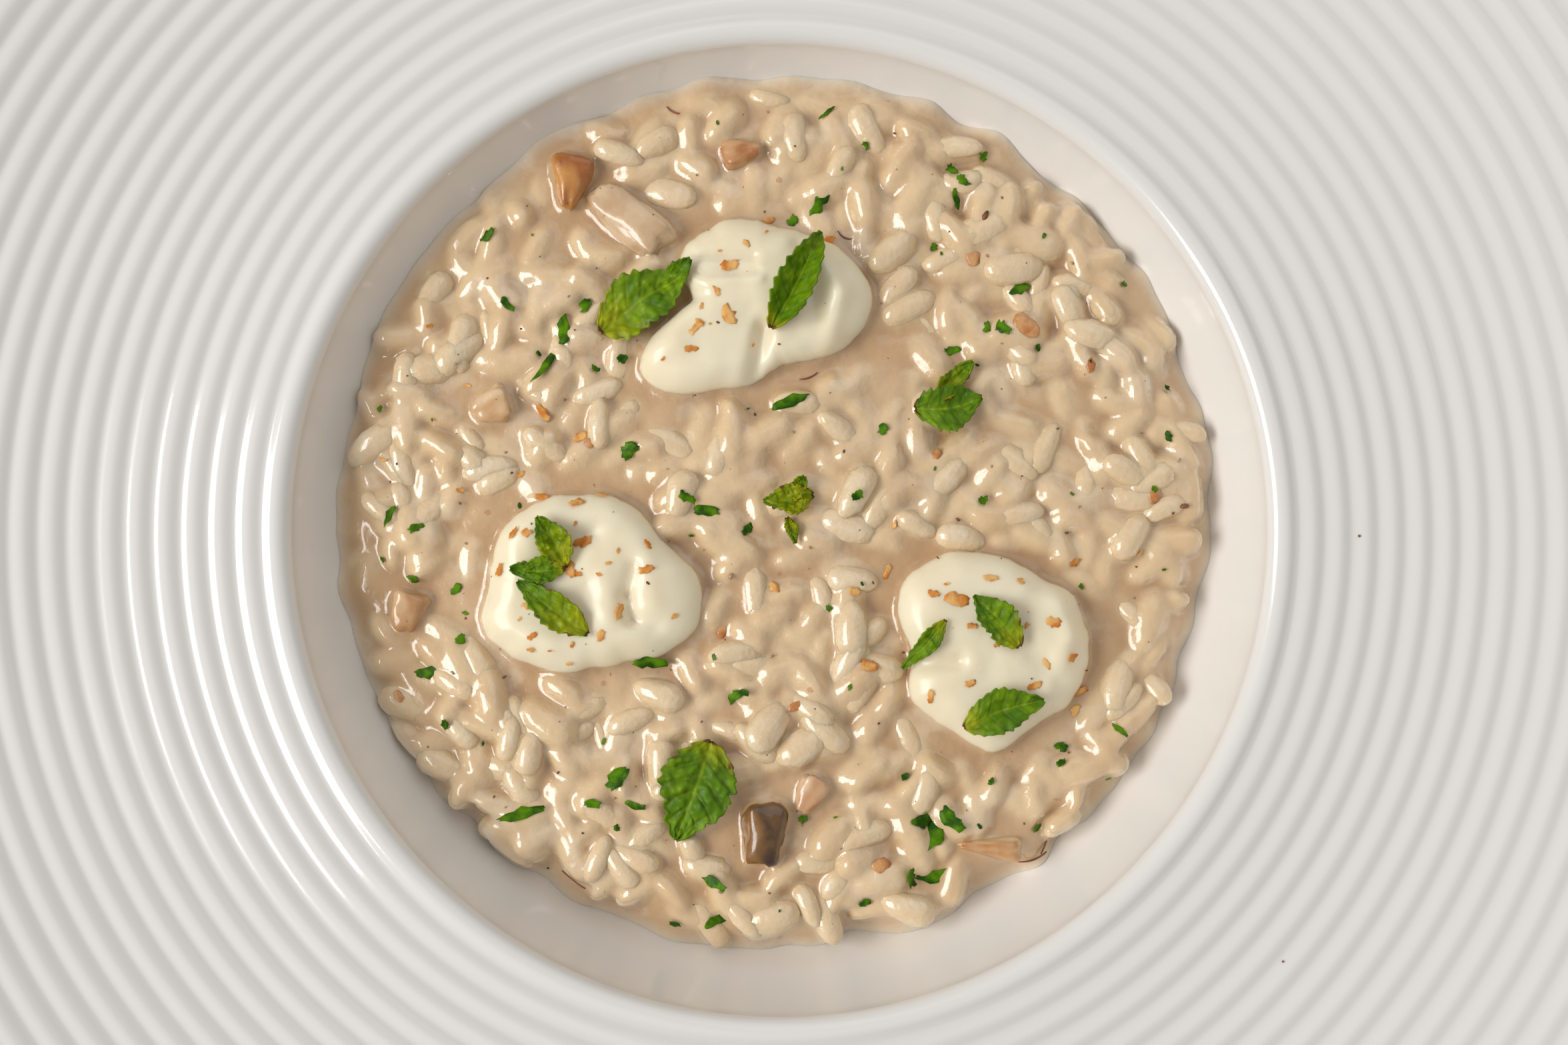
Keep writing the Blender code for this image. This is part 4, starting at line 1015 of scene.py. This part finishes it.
# Chopped parsley, toasted flakes, brown crumbs, fibres, soft brown bits and bubbles
bits = {
    "parsley": paint(88, 134, 0), "parsleyDark": paint(34, 74, 0), "thickness": 0.08,
    # middle in mm, heading, length, width as a share of it
    "parsleyAt": (
        (-48.0, 47.4, 30, 3.0, 0.35), (-31.9, 35.7, 90, 2.2, 0.7), (-35.5, 32.0, 100, 5.0, 0.35),
        (-38.2, 26.3, 80, 7.0, 0.18), (-25.8, 27.1, 20, 1.5, 0.8), (-30.2, 25.4, 0, 1.3, 0.5),
        (-24.6, 12.1, 45, 2.9, 0.6), (1.6, 20.0, 20, 5.4, 0.3), (2.0, 50.2, 60, 1.6, 0.8),
        (7.7, 68.2, 40, 2.9, 0.2), (6.2, 52.3, 60, 4.2, 0.4), (-44.5, 35.8, -40, 2.4, 0.4),
        (-65.5, 19.1, 60, 1.0, 0.6), (14.1, 62.6, 95, 1.4, 0.6), (28.3, 58.4, 110, 2.6, 0.6),
        (30.0, 56.4, 130, 2.0, 0.5), (28.9, 53.7, 110, 3.1, 0.35), (33.6, 61.1, 60, 1.6, 0.7),
        (25.2, 45.9, 90, 1.1, 0.6), (39.2, 38.5, 25, 3.6, 0.4), (36.4, 32.0, -30, 2.3, 0.7),
        (33.7, 32.3, 90, 1.8, 0.5), (28.3, 28.7, 15, 2.1, 0.6), (42.1, 28.9, 80, 1.1, 0.6),
        (56.7, 39.8, 0, 1.3, 0.6), (63.7, 22.6, 90, 0.9, 0.7), (63.6, 14.6, 95, 1.6, 0.5),
        (16.6, 15.6, 60, 1.7, 0.8), (-63.4, 1.4, 60, 3.4, 0.25), (-59.0, -0.5, 30, 2.4, 0.4),
        (-59.7, -8.8, -20, 1.9, 0.6), (-52.8, -10.4, 30, 1.8, 0.7), (-51.8, -18.5, 60, 1.7, 0.7),
        (-57.0, -23.7, 20, 3.9, 0.4), (-54.1, -32.2, 100, 1.5, 0.5), (-42.0, -46.6, 15, 6.5, 0.28),
        (-26.2, -40.8, 45, 3.9, 0.6), (-30.4, -45.0, -10, 2.3, 0.4), (-23.4, -45.3, -10, 3.0, 0.3),
        (-26.5, -49.0, 110, 1.0, 0.6), (-10.8, -57.6, -25, 4.4, 0.3), (-10.0, -64.0, 20, 4.3, 0.4),
        (-17.2, -64.8, 0, 1.7, 0.5), (-21.2, -22.3, -8, 5.0, 0.45), (-15.1, 4.2, -25, 2.6, 0.45),
        (-12.1, 2.2, -5, 3.7, 0.35), (-5.4, -0.7, 40, 2.0, 0.5), (-6.8, -27.6, 30, 3.8, 0.35),
        (12.2, 4.5, 20, 1.6, 0.6), (32.9, 3.9, 30, 1.7, 0.6), (60.9, 5.8, 0, 0.9, 0.8),
        (7.8, -13.6, 0, 0.9, 0.8), (20.3, -40.9, 45, 1.3, 0.7), (24.9, -49.8, 60, 5.4, 0.6),
        (27.6, -47.7, -50, 4.2, 0.55), (22.8, -47.9, 15, 3.4, 0.5), (21.0, -57.0, -60, 3.0, 0.5),
        (24.9, -56.8, 12, 5.4, 0.35), (13.6, -61.3, 20, 1.7, 0.6), (3.5, -47.6, 0, 1.3, 0.7),
        (55.0, -33.4, -40, 2.9, 0.25), (45.6, -36.1, -15, 2.0, 0.5), (45.6, -38.7, 30, 1.5, 0.7),
        (41.8, -49.3, 20, 1.5, 0.5), (49.1, -10.0, 100, 1.0, 0.5), (34.0, -41.6, 60, 1.2, 0.6)),
    "flake": paint(232, 180, 108), "flakeDark": paint(206, 122, 42), "flakeThickness": 0.04,
    "flakesAt": (
        (-8.2, 41.7, 20, 2.9), (-5.6, 45.2, -40, 1.6), (-10.4, 37.4, -60, 1.8), (-8.4, 33.4, 110, 3.6),
        (-13.7, 31.5, 50, 2.6), (-12.8, 35.0, 80, 1.1), (-14.5, 28.0, 0, 2.2), (2.8, 35.4, 60, 2.9),
        (-11.4, 32.0, 0, 0.6), (-19.0, 26.4, 60, 0.8), (-9.9, 44.1, 0, 0.7), (-4.5, 28.7, 30, 0.7),
        (-2.3, 47.4, 60, 0.9), (-38.9, 4.6, 0, 2.2), (-28.8, 4.8, -10, 2.1), (-32.8, 3.4, 15, 2.6),
        (-42.9, -1.6, 60, 2.1), (-40.7, -1.6, 0, 2.0), (-36.8, -0.3, 0, 1.9), (-33.0, -0.1, 60, 0.8),
        (-34.9, -2.2, -20, 2.0), (-31.9, -2.9, 10, 2.8), (-21.3, -3.4, -60, 1.7), (-26.1, -4.5, 90, 1.0),
        (-27.6, -6.5, 10, 1.0), (-29.1, -8.3, -20, 1.0), (-45.3, -7.4, 70, 2.0), (-33.7, -7.6, -70, 2.6),
        (-32.6, -8.3, 0, 1.4), (-21.5, -7.5, 20, 2.6), (-40.2, -13.3, -10, 2.6), (-41.8, -15.4, 60, 0.8),
        (-39.7, -18.1, 40, 1.7), (-25.9, -14.3, 70, 2.6), (-28.8, -18.1, 60, 2.0), (-33.4, -19.5, 70, 1.0),
        (-17.1, -15.0, 30, 1.3), (-37.0, -20.5, 0, 0.7), (-40.1, -20.3, 0, 1.1), (-34.0, -22.6, 0, 1.0),
        (33.7, -8.8, 0, 2.3), (38.6, -9.3, -30, 1.4), (24.4, -11.3, -20, 2.0), (28.3, -12.3, -10, 4.0),
        (17.4, -7.6, 75, 2.4), (26.6, -9.8, 0, 1.0), (30.5, -16.6, 0, 1.8), (43.7, -15.9, -20, 2.4),
        (39.4, -16.5, 60, 1.0), (46.9, -21.6, 20, 2.1), (42.6, -22.6, -60, 2.0), (34.4, -19.7, 0, 0.9),
        (30.2, -25.7, 10, 1.7), (40.7, -26.1, 20, 2.4), (23.9, -27.8, 80, 2.2), (34.0, -32.6, 20, 1.6),
        (38.2, -31.2, 60, 1.7), (-1.9, 50.1, 30, 1.8), (8.1, 46.7, 40, 2.0), (14.3, -22.9, -10, 2.5),
        (12.0, -10.9, 0, 2.0), (18.5, 0.0, 70, 1.6), (48.0, -6.2, 30, 2.0), (58.8, -4.6, 80, 1.1),
        (48.9, -27.1, 20, 2.4), (48.1, -30.2, 60, 2.0), (-38.7, 18.2, -60, 3.2), (-32.7, 14.4, 30, 2.4),
        (-57.3, 32.5, 0, 1.2), (-64.6, 10.6, 0, 1.2), (-42.4, 8.2, 20, 1.4), (-52.1, 5.7, 0, 1.4),
        (-1.2, -10.1, -50, 2.4), (-51.2, 22.9, 0, 1.2)),
    "softAt": ((39.9, 32.6, 3.4), (31.5, 43.9, 2.6), (25.5, 11.3, 2.0), (16.2, -55.1, 3.0),
               (-9.6, -17.2, 2.0), (2.4, -29.4, 1.8), (-31.2, 13.2, 1.6), (61.0, 5.0, 2.4),
               (50.6, 26.0, 1.8), (-62.0, -28.0, 1.8)),
    "soft": paint(208, 154, 96), "softDark": paint(180, 108, 50),
    "fibresAt": ((41.4, -54.6, 20, 4.6, 0.7), (43.4, -52.6, 65, 2.6, 0.2), (-33.6, -57.4, -48, 4.4, 0.4),
                 (-17.8, 68.6, -35, 2.4, 0.2), (4.6, 24.2, 20, 3.0, 0.3), (10.5, 47.6, -30, 2.6, 0.4)),
    "fibre": paint(150, 84, 52), "fibreDark": paint(112, 60, 36), "fibreThickness": 0.2,
    "reach": 68, "parsleyDust": 44,
    "crumbs": 150, "crumb": paint(138, 84, 44), "crumbDark": paint(84, 48, 24),
    "rimCrumbs": ((91.4, -2.5, 0.22, 0.6, 0.1), (77.6, -68.7, 0.18, 0.6, 0.1), (33.5, 50.5, 0.5, 0.4, 0.1),
                  (65.9, 3.0, 0.5, 0.5, 0.1)),
    "bubbles": 46, "bubble": paint(160, 128, 96),
}


def makeBitMaterial(name, first, second, roughness, shine):
    material, tree, spot = newMaterial(name, roughness, {
        "Specular IOR Level": shine, "Coat Weight": 0.4 * shine, "Coat Roughness": 0.15})
    cloud = blotch(spot, 420.0, 0.35, 0.65)
    colour = mixColour(tree, cloud, first, second)
    return feed(material, colour, None, wrinkles(spot, 1400.0, 0.0003, 0.4))


def surfaceAt(x, y):
    # the highest surface at a spot, in mm, and its slope evened out over its neighbourhood
    normal, level = Vector((0, 0, 0)), 0.0
    for dx, dy in ((0, 0), (0.5, 0), (-0.5, 0), (0, 0.5), (0, -0.5)):
        hits = [tree.ray_cast(Vector(((x + dx) * mm, (y + dy) * mm, rayTop)), down) for tree in grounds]
        hits = [hit for hit in hits if hit[0] is not None]
        if hits:
            top = max(hits, key=lambda hit: hit[0].z)
            normal += top[1] if top[1].z > 0 else -top[1]
            level = max(level, top[0].z / mm)
    return level, normal.normalized()


def addScrap(bm, rng, x, y, heading, length, width, curve, lift, ragged=0.22, sweep=0.0):
    # a thin scrap with uneven edges, lying along the surface under it
    level, normal = surfaceAt(x, y)
    made = bmesh.ops.create_grid(bm, x_segments=6, y_segments=3, size=1.0)["verts"]
    ahead = Vector((math.cos(math.radians(heading)), math.sin(math.radians(heading)), 0))
    ahead = (ahead - normal * ahead.dot(normal)).normalized()
    turned = Matrix((ahead, normal.cross(ahead), normal)).transposed()
    point, skew = rng.uniform(0.2, 0.75), rng.uniform(-0.5, 0.5)
    for vert in made:
        u, v = vert.co.x, vert.co.y
        v *= (1 - point * abs(u) ** 1.3) * (1 + 0.5 * skew * u) * (1 + rng.uniform(-ragged, ragged))
        u += 0.3 * skew * v + rng.uniform(-ragged, ragged) * (0.4 if abs(u) > 0.9 else 0.15)
        bent = 0.5 * width * v + sweep * (u * u - 0.5)
        shaped = Vector((0.5 * length * u, bent, curve * (u * u + 0.6 * v * v)))
        vert.co = (turned @ shaped + Vector((x, y, level + lift))) * mm


def finishScraps(bm, name, slot, thickness, material):
    bmesh.ops.recalc_face_normals(bm, faces=bm.faces)
    bmesh.ops.solidify(bm, geom=bm.faces, thickness=thickness * mm)
    bmesh.ops.recalc_face_normals(bm, faces=bm.faces)
    toPiece(bm, name, material, slot)


def makeParsley():
    bm = bmesh.new()
    rng = random.Random(5)
    for x, y, heading, length, share in bits["parsleyAt"]:
        addScrap(bm, rng, x, y, heading, 1.12 * length, share * length + 0.3, rng.uniform(-0.1, 0.3), 0.10,
                 ragged=0.38, sweep=rng.uniform(-0.12, 0.12) * length)
    for x, y in spiralPlaces(bits["parsleyDust"], rng, 0.9, fill=True):
        length = rng.uniform(0.5, 1.1)
        if math.hypot(x, y) < bits["reach"] and not nearTopping(x, y, 0.6):
            addScrap(bm, rng, x, y, rng.uniform(0, 180), length, 0.6 * length, 0.05, 0.06)
    material = makeBitMaterial("parsleyLeaf", bits["parsley"], bits["parsleyDark"], 0.45, 0.12)
    finishScraps(bm, "parsley", "mint", bits["thickness"], material)


def makeFlakes():
    bm = bmesh.new()
    rng = random.Random(6)
    for x, y, heading, length in bits["flakesAt"]:
        width, curve = rng.uniform(0.45, 0.7) * length, rng.uniform(-0.05, 0.12)
        addScrap(bm, rng, x, y, heading, length, width, curve, 0.05, ragged=0.45)
    material = makeBitMaterial("toastedFlake", bits["flake"], bits["flakeDark"], 0.6, 0.15)
    finishScraps(bm, "toastedFlakes", "mushroom", bits["flakeThickness"], material)


def makeFibres():
    bm = bmesh.new()
    rng = random.Random(8)
    for x, y, heading, length, sweep in bits["fibresAt"]:
        addScrap(bm, rng, x, y, heading, length, 0.2, 0.05, 0.12, ragged=0.1, sweep=sweep)
    material = makeBitMaterial("brownFibre", bits["fibre"], bits["fibreDark"], 0.5, 0.4)
    finishScraps(bm, "fibres", "mushroom", bits["fibreThickness"], material)


def makeBlobs(name, spots, slot, material, subdivisions):
    # small rounded lumps: middle, half width, height share, and how far the middle stands above the surface
    shape = bmesh.new()
    bmesh.ops.create_icosphere(shape, subdivisions=subdivisions, radius=1.0)
    bm, clusters = copies(len(spots), shape)
    for index, (x, y, size, tall, lift) in enumerate(spots):
        rng = random.Random(500 + index)
        level, _normal = surfaceAt(x, y)
        stretch = Matrix.Rotation(rng.uniform(0, 3), 3, "Z") @ Matrix.Diagonal((rng.uniform(1, 1.9), 1, tall))
        for vert in clusters[index]:
            lump = 1 + 0.3 * noise.noise(vert.co * 1.5 + Vector((index, 0, 0)))
            vert.co = (stretch @ (vert.co * size * lump) + Vector((x, y, level + lift))) * mm
    toPiece(bm, name, material, slot)


def makeSmallThings():
    rng = random.Random(31)
    crumbs = [(x, y, 0.07 + 0.17 * rng.random() ** 2, 0.6, 0.0)
              for x, y in spiralPlaces(bits["crumbs"], rng, 2.9, fill=True)
              if math.hypot(x, y) < bits["reach"]] + list(bits["rimCrumbs"])
    makeBlobs("brownCrumbs", crumbs, "mushroom",
              makeBitMaterial("brownCrumb", bits["crumb"], bits["crumbDark"], 0.5, 0.4), 1)
    soft = [(x, y, 0.42 * size, 0.34, -0.15) for x, y, size in bits["softAt"]]
    softMaterial = makeBitMaterial("softBit", bits["soft"], bits["softDark"], 0.3, 0.6)
    makeBlobs("softBits", soft, "mushroom", softMaterial, 3)
    bubbles = [(x, y, rng.uniform(0.12, 0.24), 0.8, -0.02) for x, y in spiralPlaces(bits["bubbles"], rng, 5.2)
               if not nearTopping(x, y, 1.0)] + [(-8.1, -8.4, 0.42, 0.7, -0.1)]
    makeBlobs("bubbles", bubbles, "risotto",
              makeBitMaterial("bubble", bits["bubble"], heap["sauceDeepAndShade"], 0.15, 0.8), 2)


makeParsley()
makeFlakes()
makeFibres()
makeSmallThings()
print("herbs, flakes and crumbs made")
